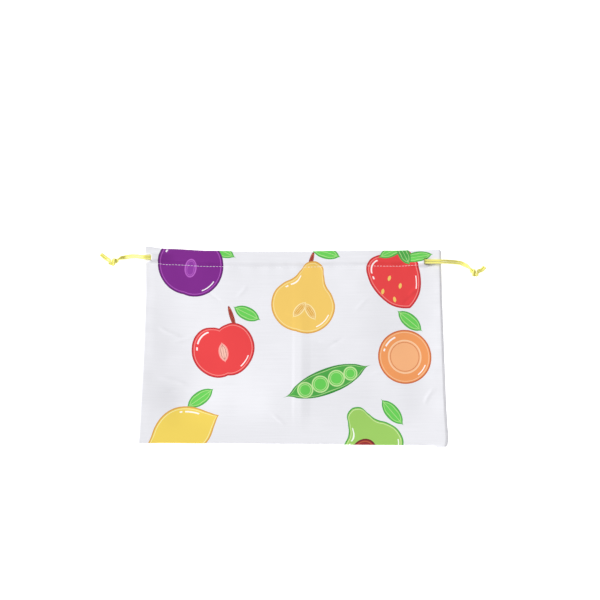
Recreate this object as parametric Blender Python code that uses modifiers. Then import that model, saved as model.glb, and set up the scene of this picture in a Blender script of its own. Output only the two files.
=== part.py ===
"""A drawstring produce bag that lies flat, its front up and its mouth towards +Y. Lengths are in metres.

The origin is on the table under the middle of the bag. One cloth makes both sides: it turns at the bottom
fold, is sewn up at both sides, and is folded in at the mouth into a channel for two drawcords. Each cord
runs round the whole mouth and comes out through one slit in the front, where its two ends are knotted.
"""

import math
from collections import namedtuple

import bmesh
import bpy
from mathutils import Vector

# Sizes of the bag
bag_width = 0.305
bag_height = 0.203
cloth_wall = 0.001
fit_gap = 0.0003

# Side seams: the turned edge, and the sewn allowance that lies inside the bag
seam_edge_width = 0.003
seam_allowance = 0.008
allowance_root = 0.0012
allowance_end_gap = 0.002
side_hollow = 0.0022

# Bottom fold
fold_reach = 0.006
bottom_lift = 0.0015

# How far the front rises over the sides, and over what distance. Then, as shares of the panel's height: where
# it starts to slope up to the mouth, and how far below the stitches its dents have faded out.
crown_rise = 0.0042
crown_rise_length = 0.045
mouth_slope_start = 0.3
calm_below_stitches = 0.15
dent_depth = 0.0011
crease_height = 0.0007
crease_half_width = 0.009

# Channel at the mouth
channel_depth = 0.017
mouth_dip = 0.0034
mouth_gap_at_sides = 0.0006
mouth_gap_in_middle = 0.0045
mouth_rise_length = 0.09

# Drawcords
cord_diameter = 0.0022
cord_clearance = 0.0003
lane_spacing = cord_diameter + cord_clearance
low_lane = 0.0037
high_lane = low_lane + 2 * lane_spacing
slit_length = 0.0072
slit_spare_width = 0.0002
left_slit_inset = 0.009
right_slit_inset = 0.017
front_rise_run = 0.0066
back_rise_run = 0.0145

# Sizes that follow from these
allowance_thickness = 2 * cloth_wall
side_thickness = 2 * cloth_wall + allowance_thickness + 2 * fit_gap
hem_thickness = 2 * cloth_wall + fit_gap
channel_thickness = cord_diameter + 2 * cord_clearance + 2 * cloth_wall
cord_radius = cord_diameter / 2
back_lane_z = cloth_wall + cord_clearance + cord_radius
slit_width = lane_spacing + cord_diameter + 2 * cord_clearance + slit_spare_width

# How far each side edge draws in from the bottom to the mouth, as shares of side_hollow
SideEdge = namedtuple("SideEdge", "at left right")
side_edges = (
    SideEdge(0.00, 0.00, 0.20),
    SideEdge(0.04, 0.45, 0.00),
    SideEdge(0.22, 0.75, 0.30),
    SideEdge(0.48, 0.90, 0.45),
    SideEdge(0.74, 1.00, 0.35),
    SideEdge(0.92, 0.40, 0.10),
    SideEdge(1.00, 0.00, 0.00),
)

# The lines of the mouth and of the bottom fold from left to right, as shares of mouth_dip and bottom_lift
CrossEdge = namedtuple("CrossEdge", "at dip lift")
cross_edges = (
    CrossEdge(0.00, 0.00, 0.00),
    CrossEdge(0.08, 0.35, 0.35),
    CrossEdge(0.22, 0.80, 0.75),
    CrossEdge(0.50, 1.00, 1.00),
    CrossEdge(0.82, 0.45, 1.00),
    CrossEdge(0.94, 0.15, 0.85),
    CrossEdge(1.00, 0.00, 0.00),
)

# The thickness of the channel from its stitches to its top fold, from hem_thickness (0) to full (1).
# lane_share is a place between them where the channel is full.
ChannelRow = namedtuple("ChannelRow", "at thickness")
channel_rows = (
    ChannelRow(0.00, 0.00),
    ChannelRow(0.06, 0.60),
    ChannelRow(0.13, 1.00),
    ChannelRow(0.36, 1.00),
    ChannelRow(0.61, 1.00),
    ChannelRow(0.80, 0.84),
    ChannelRow(0.93, 0.50),
    ChannelRow(1.00, 0.00),
)
lane_share = 0.36

# Soft dents and swells of the front, as shares of the panel's width and height and of dent_depth
Dent = namedtuple("Dent", "across along half_width half_height rise")
dents = (
    Dent(0.07, 0.70, 0.05, 0.16, -0.8),
    Dent(0.12, 0.42, 0.09, 0.07, 0.7),
    Dent(0.14, 0.22, 0.10, 0.08, -0.9),
    Dent(0.30, 0.55, 0.10, 0.22, 0.8),
    Dent(0.42, 0.15, 0.08, 0.12, 0.6),
    Dent(0.63, 0.40, 0.07, 0.14, -0.7),
    Dent(0.72, 0.72, 0.10, 0.16, 0.7),
    Dent(0.84, 0.30, 0.08, 0.20, 0.6),
    Dent(0.94, 0.86, 0.04, 0.07, -1.0),
)
crease_across = 0.527

# How finely the pieces are made: sections across the bag, rows up it, and points along the cords. Then the
# angle from which an edge is sharp, and the distance under which two points are one.
left_columns = 13
right_columns = 11
front_rows = 16
back_rows = 8
fold_steps = 6
seam_steps = 8
seam_stations = 14
allowance_stations = 12
front_run_points = 22
back_run_points = 20
turn_steps = 6
front_rise_steps = 6
back_rise_steps = 9
route_steps = 3
sharp_degrees = 40
same_place = 1e-6

# The bead at a side edge is rounded off at its two ends: distance from the end, shares of width and height
EndRow = namedtuple("EndRow", "distance width height")
end_rows = (
    EndRow(0.0000, 0.35, 0.40),
    EndRow(0.0008, 0.75, 0.80),
    EndRow(0.0024, 1.00, 1.00),
)

# Chosen points of the free pair of strands, from the slit to the knot: x and y from the slit, z over the
# table. The upper strand of a pair lies on its +Y side.
left_pair_route = (
    (0.0000, 0.0000, 0.0117),
    (-0.0045, 0.0000, 0.0117),
    (-0.0090, 0.0004, 0.0115),
    (-0.0145, 0.0012, 0.0086),
    (-0.0195, 0.0018, 0.0048),
    (-0.0245, 0.0019, 0.0021),
    (-0.0295, 0.0008, 0.0012),
    (-0.0342, -0.0013, 0.0012),
)
right_pair_route = (
    (0.0000, 0.0000, 0.0120),
    (0.0085, 0.0001, 0.0118),
    (0.0170, 0.0000, 0.0116),
    (0.0225, 0.0003, 0.0088),
    (0.0275, 0.0006, 0.0050),
    (0.0325, 0.0004, 0.0022),
    (0.0375, -0.0011, 0.0012),
    (0.0420, -0.0040, 0.0012),
    (0.0462, -0.0075, 0.0012),
)
# The pair of cut tails behind each knot, from its middle, in the same way
left_tail_route = (
    (-0.0385, -0.0030, 0.0032),
    (-0.0440, -0.0018, 0.0020),
    (-0.0495, 0.0020, 0.0013),
    (-0.0545, 0.0062, 0.0012),
)
right_tail_route = (
    (0.0500, -0.0105, 0.0032),
    (0.0548, -0.0100, 0.0020),
    (0.0590, -0.0074, 0.0013),
    (0.0632, -0.0042, 0.0012),
)

# The thick turns of the knot: forward from the pair's end, to the left of it, and up, in knot units
knot_turns = (
    (0.25, 0.05, 0.42),
    (0.75, -0.30, 0.50),
    (1.30, -0.62, 0.72),
    (1.85, -0.20, 1.02),
    (1.75, 0.42, 1.10),
    (1.20, 0.66, 0.90),
    (0.86, 0.16, 1.12),
    (1.02, -0.44, 1.16),
    (1.55, -0.66, 0.80),
    (2.05, -0.05, 0.56),
    (2.40, 0.20, 0.50),
)
knot_core = (1.35, 0.0, 0.85)
knot_unit = 0.0038
knot_turn_radius = 0.0018
knot_core_radius = 0.0021
knot_grain = 0.00055
knot_kept_faces = 0.26


def eased(share):
    """A share from 0 to 1 with a level start and end."""
    share = min(max(share, 0.0), 1.0)
    return share * share * (3 - 2 * share)


def mixed(low, high, share):
    return low + (high - low) * share


def read_table(rows, share, column, ease=eased):
    """The named column at a share of the way through the rows."""
    share = min(max(share, 0.0), 1.0)
    for low, high in zip(rows, rows[1:]):
        if share <= high.at:
            between = ease((share - low.at) / (high.at - low.at))
            return mixed(getattr(low, column), getattr(high, column), between)
    return getattr(rows[-1], column)


def left_edge(y):
    return -bag_width / 2 + side_hollow * read_table(side_edges, y / bag_height + 0.5, "left")


def right_edge(y):
    return bag_width / 2 - side_hollow * read_table(side_edges, y / bag_height + 0.5, "right")


def mouth_edge(across):
    return bag_height / 2 - mouth_dip * read_table(cross_edges, across, "dip")


def bottom_edge(across):
    return -bag_height / 2 + bottom_lift * read_table(cross_edges, across, "lift")


def stitch_line(across):
    return mouth_edge(across) - channel_depth


def inside_x(across, y):
    """A place between the two side seams, at a share of the way from left to right."""
    clear = seam_edge_width + fit_gap
    return mixed(left_edge(y) + clear, right_edge(y) - clear, across)


def share_across(x):
    return x / bag_width + 0.5


def mouth_gap(across):
    """The open height of the mouth, which is widest in the middle."""
    from_side = min(across, 1 - across) * bag_width
    open_share = eased(from_side / mouth_rise_length)
    return mixed(mouth_gap_at_sides, mouth_gap_in_middle, open_share)


def channel_height(across, at):
    """(underside, top) of the front channel, at a share of the way from its stitches to its top fold."""
    full = read_table(channel_rows, at, "thickness", ease=float)
    thickness = mixed(hem_thickness, channel_thickness, full)
    underside = channel_thickness + mouth_gap(across)
    if at > lane_share:
        underside += (channel_thickness - thickness) / 2
    return underside, underside + thickness


def front_height(across, along):
    """The top of the front panel, at shares of its width and of its height up to the stitches."""
    from_side = min(across, 1 - across) * bag_width
    side_rise = eased(from_side / crown_rise_length)
    bottom_rise = eased(along * bag_height / crown_rise_length)
    body = side_thickness + crown_rise * side_rise * bottom_rise
    near_mouth = eased((along - mouth_slope_start) / (1 - mouth_slope_start))
    free = side_rise * bottom_rise * eased((1 - along) / calm_below_stitches)
    for dent in dents:
        off_across = (across - dent.across) / dent.half_width
        off_along = (along - dent.along) / dent.half_height
        body += dent_depth * dent.rise * free * math.exp(-(off_across**2) - off_along**2)
    off_crease = abs(across - crease_across) * bag_width / crease_half_width
    body += crease_height * bottom_rise * max(0.0, 1 - off_crease)
    return mixed(body, channel_height(across, 0)[1], near_mouth)


def colour_material(name, colour, roughness):
    made = bpy.data.materials.new(name)
    made.use_nodes = True
    shader = made.node_tree.nodes["Principled BSDF"]
    shader.inputs["Base Color"].default_value = (*colour, 1)
    shader.inputs["Roughness"].default_value = roughness
    shader.inputs["Metallic"].default_value = 0
    return made


def add_object(name, data, collection, material=None):
    made = bpy.data.objects.new(name, data)
    collection.objects.link(made)
    if material:
        data.materials.append(material)
    return made


def finished_mesh(shape, name):
    """A smooth mesh from a bmesh, its faces turned outwards."""
    bmesh.ops.recalc_face_normals(shape, faces=shape.faces)
    mesh = bpy.data.meshes.new(name)
    shape.to_mesh(mesh)
    shape.free()
    mesh.shade_smooth()
    mesh.set_sharp_from_angle(angle=math.radians(sharp_degrees))
    return mesh


def join_rings(shape, first, second):
    """A band of faces between two rings of the same number of points."""
    for i in range(len(first)):
        j = (i + 1) % len(first)
        shape.faces.new((first[i], first[j], second[j], second[i]))


def loft_mesh(name, rings):
    """One closed solid through a row of closed sections, with both ends filled."""
    shape = bmesh.new()
    made = [[shape.verts.new(point) for point in ring] for ring in rings]
    for first, second in zip(made, made[1:]):
        join_rings(shape, first, second)
    shape.faces.new(made[0])
    shape.faces.new(made[-1])
    return finished_mesh(shape, name)


def pipe_mesh(name, outer_rings, inner_rings):
    """A pipe with open ends through a row of sections that have an outer and an inner line."""
    shape = bmesh.new()
    outer = [[shape.verts.new(point) for point in ring] for ring in outer_rings]
    inner = [[shape.verts.new(point) for point in ring] for ring in inner_rings]
    for rings in (outer, inner):
        for first, second in zip(rings, rings[1:]):
            join_rings(shape, first, second)
    join_rings(shape, outer[0], inner[0])
    join_rings(shape, outer[-1], inner[-1])
    return finished_mesh(shape, name)


def shared_columns():
    """The shares across the bag at which every cloth piece has a section, so that their edges match."""
    left = [crease_across * i / left_columns for i in range(left_columns)]
    return left + [mixed(crease_across, 1, i / right_columns) for i in range(right_columns + 1)]


def add_panel(name, rows, height):
    """An open sheet between the seams, the bottom fold and the stitches, with the cloth's thickness."""
    columns = shared_columns()
    shape = bmesh.new()
    bmesh.ops.create_grid(shape, x_segments=len(columns) - 1, y_segments=rows, size=0.5)
    for vertex in shape.verts:
        column = round((vertex.co.x + 0.5) * (len(columns) - 1))
        across = columns[column]
        along = vertex.co.y + 0.5
        low = bottom_edge(across) + fold_reach + fit_gap
        y = mixed(low, stitch_line(across) - fit_gap, along)
        vertex.co = (inside_x(across, y), y, height(across, along))
    made = add_object(name, finished_mesh(shape, name), parts, cloth)
    wall = made.modifiers.new("Cloth thickness", "SOLIDIFY")
    wall.thickness = cloth_wall
    wall.offset = -1


def back_height(across, along):
    """The top of the back panel, which lies flat on the table."""
    return cloth_wall


def fold_section(radius, reach):
    """Half a turn of the fold and its two straight lips, as (along, up) from the fold's centre."""
    turn = [math.radians(90 + 180 * i / fold_steps) for i in range(fold_steps + 1)]
    arc = [(radius * math.cos(angle), radius * math.sin(angle)) for angle in turn]
    return [(reach, radius), *arc, (reach, -radius)]


def add_bottom_fold():
    radius = side_thickness / 2
    reach = fold_reach - radius
    section = fold_section(radius, reach)
    section += reversed(fold_section(radius - cloth_wall, reach))
    rings = []
    for across in shared_columns():
        centre = bottom_edge(across) + radius
        x = inside_x(across, centre)
        rings.append([(x, centre + along, radius + up) for along, up in section])
    return add_object("bottom_fold", loft_mesh("bottom_fold", rings), parts, cloth)


def channel_sections(across, heights):
    """The outer and inner lines of a channel at one place across the mouth."""
    start = stitch_line(across)
    inner_share = (channel_depth - 2 * cloth_wall) / channel_depth
    outer_low, outer_top, inner_low, inner_top = [], [], [], []
    for row in channel_rows:
        low, top = heights(across, row.at)
        y = start + row.at * channel_depth
        inner_y = start + cloth_wall + row.at * channel_depth * inner_share
        x = inside_x(across, y)
        outer_low.append((x, y, low))
        outer_top.append((x, y, top))
        inner_low.append((x, inner_y, low + cloth_wall))
        inner_top.append((x, inner_y, top - cloth_wall))
    return outer_low + outer_top[::-1], inner_low + inner_top[::-1]


def back_channel_height(across, at):
    full = read_table(channel_rows, at, "thickness", ease=float)
    return 0.0, mixed(hem_thickness, channel_thickness, full)


def add_channel(name, heights):
    outer, inner = [], []
    for across in shared_columns():
        outer_ring, inner_ring = channel_sections(across, heights)
        outer.append(outer_ring)
        inner.append(inner_ring)
    return add_object(name, pipe_mesh(name, outer, inner), parts, cloth)


def add_cutter(name, low, high):
    """A box between two corners."""
    shape = bmesh.new()
    bmesh.ops.create_cube(shape, size=1)
    low, high = Vector(low), Vector(high)
    for vertex in shape.verts:
        vertex.co = [mixed(low[k], high[k], vertex.co[k] + 0.5) for k in range(3)]
    made = add_object(name, finished_mesh(shape, name), cutters)
    made.hide_render = True
    made.display_type = "WIRE"
    return made


def add_boolean(body, operation, other):
    boolean = body.modifiers.new(f"{operation.title()} {other.name}", "BOOLEAN")
    boolean.operation = operation
    boolean.object = other


def slit_place(side):
    """The outer end of a slit: x, y of the middle of its pair of strands, and the pair's height."""
    if side == "left":
        x = left_edge(bag_height / 2) + left_slit_inset
        lane = high_lane - lane_spacing / 2
    else:
        x = right_edge(bag_height / 2) - right_slit_inset
        lane = low_lane + lane_spacing / 2
    across = share_across(x)
    top = channel_height(across, lane / channel_depth)[1]
    return Vector((x, stitch_line(across) + lane, top + cord_clearance + cord_radius))


def cut_slit(channel, side, inward):
    """The slit in the front of the channel where one cord comes out."""
    place = slit_place(side)
    near = place.x - inward * cord_clearance
    far = place.x + inward * slit_length
    middle = place.z - cord_radius - cord_clearance - channel_thickness / 2
    low = (min(near, far), place.y - slit_width / 2, middle)
    high = (max(near, far), place.y + slit_width / 2, place.z)
    add_boolean(channel, "DIFFERENCE", add_cutter(f"{side}_slit", low, high))


def cut_passages(front, back, side, inward):
    """Near a side the two channels open into each other, where the cords pass from front to back."""
    place = slit_place(side)
    edge = left_edge(bag_height / 2) if side == "left" else right_edge(bag_height / 2)
    near = edge + inward * seam_edge_width / 2
    far = place.x + inward * (back_rise_run + 2 * cord_diameter)
    start = stitch_line(share_across(place.x))
    low_y = start + low_lane - cord_radius - cord_clearance
    high_y = start + high_lane + cord_radius + cord_clearance
    front_middle = channel_height(share_across(place.x), lane_share)[0] + channel_thickness / 2
    for channel, low_z, high_z in (
        (front, front_middle - channel_thickness, front_middle),
        (back, channel_thickness / 2, channel_thickness + mouth_gap_at_sides),
    ):
        low = (min(near, far), low_y, low_z)
        high = (max(near, far), high_y, high_z)
        add_boolean(channel, "DIFFERENCE", add_cutter(f"{side}_passage_{channel.name}", low, high))


def add_channels():
    front = add_channel("front_channel", channel_height)
    back = add_channel("back_channel", back_channel_height)
    for side, inward in (("left", 1), ("right", -1)):
        cut_passages(front, back, side, inward)
        cut_slit(front, side, inward)


def seam_top(y, across):
    """The height of a side edge: along the panels, then along the channel."""
    along = (y - bottom_edge(across)) / (stitch_line(across) - bottom_edge(across))
    if along <= 1:
        return front_height(across, along)
    return channel_height(across, min(1.0, (y - stitch_line(across)) / channel_depth))[1]


def add_side_seam(side):
    """The turned edge with a round back, and the sewn allowance between the two panels."""
    edge, across, inward = (left_edge, 0, 1) if side == "left" else (right_edge, 1, -1)
    bottom = bottom_edge(across)
    mouth = mouth_edge(across)
    start = stitch_line(across)
    ys = [bottom + row.distance for row in end_rows]
    ys += [mixed(ys[-1], start, (i + 1) / seam_stations) for i in range(seam_stations)]
    ys += [start + row.at * channel_depth for row in channel_rows[1:-1]]
    ys += [mouth - row.distance for row in reversed(end_rows[:2])]
    rings = []
    for y in ys:
        distance = min(y - bottom, mouth - y)
        width_share, height_share = 1.0, 1.0
        for row in end_rows:
            if distance <= row.distance + same_place:
                width_share, height_share = row.width, row.height
                break
        half = seam_top(y, across) / 2
        inner_x = edge(y) + inward * seam_edge_width
        ring = []
        for i in range(seam_steps + 1):
            angle = math.pi * i / seam_steps
            out = seam_edge_width * width_share * math.sin(angle)
            up = half * (1 - height_share * math.cos(angle))
            ring.append((inner_x - inward * out, y, up))
        rings.append(ring)
    name = f"{side}_side_seam"
    seam = add_object(name, loft_mesh(name, rings), parts, cloth)
    low_z = cloth_wall + fit_gap
    rings = []
    first = bottom + fold_reach
    last = start - allowance_end_gap
    for i in range(allowance_stations + 1):
        y = mixed(first, last, i / allowance_stations)
        root = edge(y) + inward * (seam_edge_width - allowance_root)
        tip = edge(y) + inward * (seam_edge_width + seam_allowance)
        high_z = low_z + allowance_thickness
        rings.append([(root, y, low_z), (tip, y, low_z), (tip, y, high_z), (root, y, high_z)])
    allowance = add_object(f"{side}_allowance", loft_mesh(f"{side}_allowance", rings), cutters)
    allowance.hide_render = True
    allowance.display_type = "WIRE"
    add_boolean(seam, "UNION", allowance)


def smooth_route(points, steps):
    """Points on one smooth curve through the route's points."""
    points = [Vector(point) for point in points]
    ends = [2 * points[0] - points[1], *points, 2 * points[-1] - points[-2]]
    found = []
    for a, b, c, d in zip(ends, ends[1:], ends[2:], ends[3:]):
        for i in range(steps):
            t = i / steps
            bend = (2 * a - 5 * b + 4 * c - d) * t**2 + (3 * b - a - 3 * c + d) * t**3
            found.append((2 * b + (c - a) * t + bend) / 2)
    found.append(points[-1])
    return found


def beside(points, distance):
    """The route moved sideways, to the left of its own direction."""
    moved = []
    for i, point in enumerate(points):
        ahead = points[min(i + 1, len(points) - 1)] - points[max(i - 1, 0)]
        sideways = Vector((-ahead.y, ahead.x, 0)).normalized()
        moved.append(point + sideways * distance)
    return moved


def tube_curve(name, points, radius):
    curve = bpy.data.curves.new(name, "CURVE")
    curve.dimensions = "3D"
    curve.bevel_depth = radius
    curve.bevel_resolution = 2
    curve.use_fill_caps = True
    spline = curve.splines.new("POLY")
    spline.points.add(len(points) - 1)
    for point, place in zip(spline.points, points):
        point.co = (*place, 1)
    return curve


def channel_run(side, lane, first_x, last_x, count):
    """Points along one lane of a channel, from one place to another."""
    run = []
    for i in range(count):
        x = mixed(first_x, last_x, i / (count - 1))
        across = share_across(x)
        z = back_lane_z
        if side == "front":
            z = channel_height(across, lane_share)[0] + back_lane_z
        run.append(Vector((x, stitch_line(across) + lane, z)))
    return run


def rise_to_slit(slit, start, count):
    """An S from the channel up through the slit, ending level just over the cloth."""
    rise = []
    for i in range(1, count + 1):
        share = i / count
        rise.append(Vector((
            mixed(start.x, slit.x, share),
            mixed(start.y, slit.y, eased(share)),
            mixed(start.z, slit.z, eased(share)),
        )))
    return rise


def add_cord_in_channel(side):
    """One drawcord from its slit along the front, round the far side, and along the back to the slit."""
    slit = slit_place(side)
    inward = 1 if side == "left" else -1
    lane = high_lane if side == "left" else low_lane
    lane_end_y = stitch_line(1 if side == "left" else 0) + lane
    far_edge = right_edge(lane_end_y) if side == "left" else left_edge(lane_end_y)
    front_strand = Vector((slit.x, slit.y + inward * lane_spacing / 2, slit.z))
    back_strand = Vector((slit.x, slit.y - inward * lane_spacing / 2, slit.z))
    turn_x = far_edge - inward * (seam_edge_width + 2 * fit_gap + cord_radius)
    front_x = slit.x + inward * front_rise_run
    back_x = slit.x + inward * back_rise_run
    turn_front_z = channel_run("front", lane, turn_x, turn_x, 2)[0].z
    radius = (turn_front_z - back_lane_z) / 2
    centre_x = turn_x - inward * radius
    front = channel_run("front", lane, front_x, centre_x, front_run_points)
    back = channel_run("back", lane, centre_x, back_x, back_run_points)
    turn = []
    for i in range(1, turn_steps):
        angle = math.pi * i / turn_steps
        x = centre_x + inward * radius * math.sin(angle)
        z = back_lane_z + radius * (1 + math.cos(angle))
        turn.append(Vector((x, front[-1].y, z)))
    route = rise_to_slit(front_strand, front[0], front_rise_steps)[::-1] + front + turn + back
    route += rise_to_slit(back_strand, back[-1], back_rise_steps)
    half_gap = Vector((inward * fit_gap / 2, 0, 0))
    route[0] += half_gap
    route[-1] += half_gap
    name = f"{side}_cord_in_channel"
    add_object(name, tube_curve(name, route, cord_radius), parts, cord)


def pair_line(side, route):
    """The middle line of a pair of strands or tails, placed from its slit."""
    slit = slit_place(side)
    return smooth_route([(slit.x + x, slit.y + y, z) for x, y, z in route], route_steps)


def add_free_strands(side, route):
    """The two strands from the slit to the knot, side by side."""
    line = pair_line(side, route)
    away = -1 if side == "left" else 1
    line[0].x += away * fit_gap / 2
    for place, turned in (("upper", away), ("lower", -away)):
        name = f"{side}_strand_{place}"
        points = beside(line, turned * lane_spacing / 2)
        add_object(name, tube_curve(name, points, cord_radius), parts, cord)


def tube_into(shape, points, radius):
    """Adds a closed tube to a bmesh."""
    guide = add_object("guide", tube_curve("guide", points, radius), cutters)
    graph = bpy.context.evaluated_depsgraph_get()
    mesh = bpy.data.meshes.new_from_object(guide.evaluated_get(graph))
    shape.from_mesh(mesh)
    bpy.data.meshes.remove(mesh)
    bpy.data.objects.remove(guide)


def add_knot(side, strand_route, tail_route):
    """The overhand knot that both strands are tied in, fused into one body with its two cut tails."""
    line = pair_line(side, strand_route)
    forward = (line[-1] - line[-2]).normalized()
    forward.z = 0
    leftward = Vector((-forward.y, forward.x, 0))
    start = Vector((line[-1].x, line[-1].y, 0))
    shape = bmesh.new()
    entry = line[-1] + forward * fit_gap
    inside = start + forward * knot_unit + Vector((0, 0, knot_turn_radius))
    for distance in (-lane_spacing / 2, lane_spacing / 2):
        tube_into(shape, [entry + leftward * distance, inside + leftward * distance], cord_radius)
        tail = beside(pair_line(side, tail_route), distance)
        tube_into(shape, tail, cord_radius)
    frame = [
        start + (forward * ahead + leftward * across + Vector((0, 0, up))) * knot_unit
        for ahead, across, up in (knot_core, *knot_turns)
    ]
    tube_into(shape, smooth_route(frame[1:], route_steps), knot_turn_radius)
    bmesh.ops.remove_doubles(shape, verts=shape.verts, dist=same_place)
    core = bmesh.ops.create_icosphere(shape, subdivisions=2, radius=knot_core_radius)
    for vertex in core["verts"]:
        vertex.co += frame[0]
    name = f"{side}_knot"
    knot = add_object(name, finished_mesh(shape, name), parts, cord)
    fused = knot.modifiers.new("Fuse turns", "REMESH")
    fused.mode = "VOXEL"
    fused.voxel_size = knot_grain
    fewer = knot.modifiers.new("Fewer faces", "DECIMATE")
    fewer.ratio = knot_kept_faces


for old in list(bpy.data.objects):
    bpy.data.objects.remove(old)

parts = bpy.data.collections.new("produce_bag")
cutters = bpy.data.collections.new("cutters")
bpy.context.scene.collection.children.link(parts)
bpy.context.scene.collection.children.link(cutters)
cutters.hide_render = True

cloth = colour_material("white_printed_cloth", (0.84, 0.84, 0.87), 0.62)
cord = colour_material("yellow_satin_cord", (0.80, 0.72, 0.16), 0.45)

add_panel("front_panel", front_rows, front_height)
add_panel("back_panel", back_rows, back_height)
add_bottom_fold()
add_channels()
for side_name, pair_route, tails_route in (
    ("left", left_pair_route, left_tail_route),
    ("right", right_pair_route, right_tail_route),
):
    add_side_seam(side_name)
    add_cord_in_channel(side_name)
    add_free_strands(side_name, pair_route)
    add_knot(side_name, pair_route, tails_route)
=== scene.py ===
# %% [markdown]
# # A drawstring produce bag, lying flat
#
# The real bag is one piece of thin white polyester cloth with a printed pattern. It is folded at
# the bottom, sewn up both sides with the raw edges turned inside, and hemmed at the mouth into a
# channel. Two yellow satin cords run round the mouth inside that channel, and each comes out near
# one side, where its ends are knotted.
#
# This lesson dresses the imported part. Loading it first gives the frame that every piece has to fit.

import math

import bpy
import numpy as np
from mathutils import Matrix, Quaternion, Vector


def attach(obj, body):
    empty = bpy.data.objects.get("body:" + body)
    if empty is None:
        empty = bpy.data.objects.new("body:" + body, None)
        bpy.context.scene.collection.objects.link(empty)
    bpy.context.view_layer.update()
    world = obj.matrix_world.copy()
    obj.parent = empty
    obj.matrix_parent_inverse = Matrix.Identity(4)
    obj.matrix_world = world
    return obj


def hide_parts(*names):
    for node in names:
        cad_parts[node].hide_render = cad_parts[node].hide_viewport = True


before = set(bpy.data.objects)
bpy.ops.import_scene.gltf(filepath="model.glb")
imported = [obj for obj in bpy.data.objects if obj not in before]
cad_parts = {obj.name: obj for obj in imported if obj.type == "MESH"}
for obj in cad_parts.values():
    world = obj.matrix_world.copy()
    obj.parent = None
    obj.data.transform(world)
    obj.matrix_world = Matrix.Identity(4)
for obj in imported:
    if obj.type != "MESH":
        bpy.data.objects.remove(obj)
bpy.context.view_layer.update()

# %% [markdown]
# ## The sizes that the cloth and the cords share
#
# The cloth has to lie where the solids are, so their sizes are repeated here, in metres. A few
# small helpers go with them: a share that starts and ends level, a mix of two values, and a table
# that is read smoothly.

# %% Sizes of the bag
bag_width = 0.305
bag_height = 0.203
seam_edge_width = 0.003
seam_allowance = 0.008
side_hollow = 0.0022
fold_reach = 0.006
bottom_lift = 0.0015
side_thickness = 0.0046
crown_rise_length = 0.045
mouth_slope_start = 0.3
calm_below_stitches = 0.15
dent_depth = 0.0011
channel_depth = 0.017
channel_thickness = 0.0048
hem_thickness = 0.0023
mouth_dip = 0.0034
mouth_gap_at_sides = 0.0006
mouth_gap_in_middle = 0.0045
mouth_rise_length = 0.09
fit_gap = 0.0003
cord_diameter = 0.0022
cord_radius = cord_diameter / 2
lane_spacing = 0.0025
low_lane = 0.0037
high_lane = low_lane + 2 * lane_spacing
left_slit_inset = 0.0093
right_slit_inset = 0.0194
slit_cord_height = 0.0014
lane_height = 0.0024

# %% Small helpers
def eased(share):
    share = np.clip(share, 0.0, 1.0)
    return share * share * (3 - 2 * share)


def mixed(low, high, share):
    return low + (high - low) * share


def read_table(at, values, share):
    """The value at a share of the way along, eased between the table's places."""
    at, values = np.array(at), np.array(values)
    share = np.clip(share, 0.0, 1.0)
    k = np.clip(np.searchsorted(at, share, side="right") - 1, 0, len(at) - 2)
    return mixed(values[k], values[k + 1], eased((share - at[k]) / (at[k + 1] - at[k])))


# %% The outline of the bag from above
edge_at = (0.00, 0.04, 0.22, 0.48, 0.74, 0.92, 1.00)
left_drawn_in = (0.50, 0.70, 0.75, 0.80, 0.50, -0.30, -0.80)
right_drawn_in = (0.20, -0.30, 0.00, 0.00, 0.00, -0.20, -0.40)
mouth_at = (0.00, 0.08, 0.22, 0.35, 0.50, 0.66, 0.82, 0.94, 1.00)
mouth_dips = (0.00, 0.85, 1.55, 1.75, 1.60, 1.15, 0.80, 0.32, 0.00)
bottom_at = (0.00, 0.08, 0.22, 0.50, 0.82, 0.94, 1.00)
bottom_lifts = (1.00, 1.30, 1.20, 1.15, 1.00, 0.85, 0.00)


def left_edge(y):
    return -bag_width / 2 + side_hollow * read_table(edge_at, left_drawn_in, y / bag_height + 0.5)


def right_edge(y):
    return bag_width / 2 - side_hollow * read_table(edge_at, right_drawn_in, y / bag_height + 0.5)


def mouth_edge(across):
    return bag_height / 2 - mouth_dip * read_table(mouth_at, mouth_dips, across)


def bottom_edge(across):
    return -bag_height / 2 + bottom_lift * read_table(bottom_at, bottom_lifts, across)


def stitch_line(across):
    return mouth_edge(across) - channel_depth


def share_across(x):
    return x / bag_width + 0.5


def mouth_gap(across):
    from_side = np.minimum(across, 1 - across) * bag_width
    return mixed(mouth_gap_at_sides, mouth_gap_in_middle, eased(from_side / mouth_rise_length))


print("mouth in the middle, mm:", round(float(mouth_edge(0.5)) * 1000, 1))

# %% [markdown]
# ## The camera
#
# The photograph looks down on the bag from in front, about 17 degrees off straight down, from about
# a metre. With the bag's size given, these values were solved from its four corners, so that each
# lands on its own pixel of the 600 by 600 frame. The camera needs no shift, because the picture's
# middle is where the lens points.

# %% Camera at the photograph's angle
aim = Vector((0.0074, 0.0479, 0.0))
camera_azimuth = math.radians(-3.54)
camera_elevation = math.radians(73.03)
camera_roll = math.radians(3.94)
camera_distance = 1.0
camera_lens = 58.77

towards_camera = Vector((
    math.sin(camera_azimuth) * math.cos(camera_elevation),
    -math.cos(camera_azimuth) * math.cos(camera_elevation),
    math.sin(camera_elevation),
))
lens = bpy.data.cameras.new("camera")
lens.lens = camera_lens
camera = bpy.data.objects.new("camera", lens)
camera.location = aim + towards_camera * camera_distance
camera.rotation_mode = "QUATERNION"
level = (-towards_camera).to_track_quat("-Z", "Y")
camera.rotation_quaternion = Quaternion(towards_camera, camera_roll) @ level
bpy.context.scene.collection.objects.link(camera)
bpy.context.scene.camera = camera
print("camera stands at", [round(value, 3) for value in camera.location])

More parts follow.
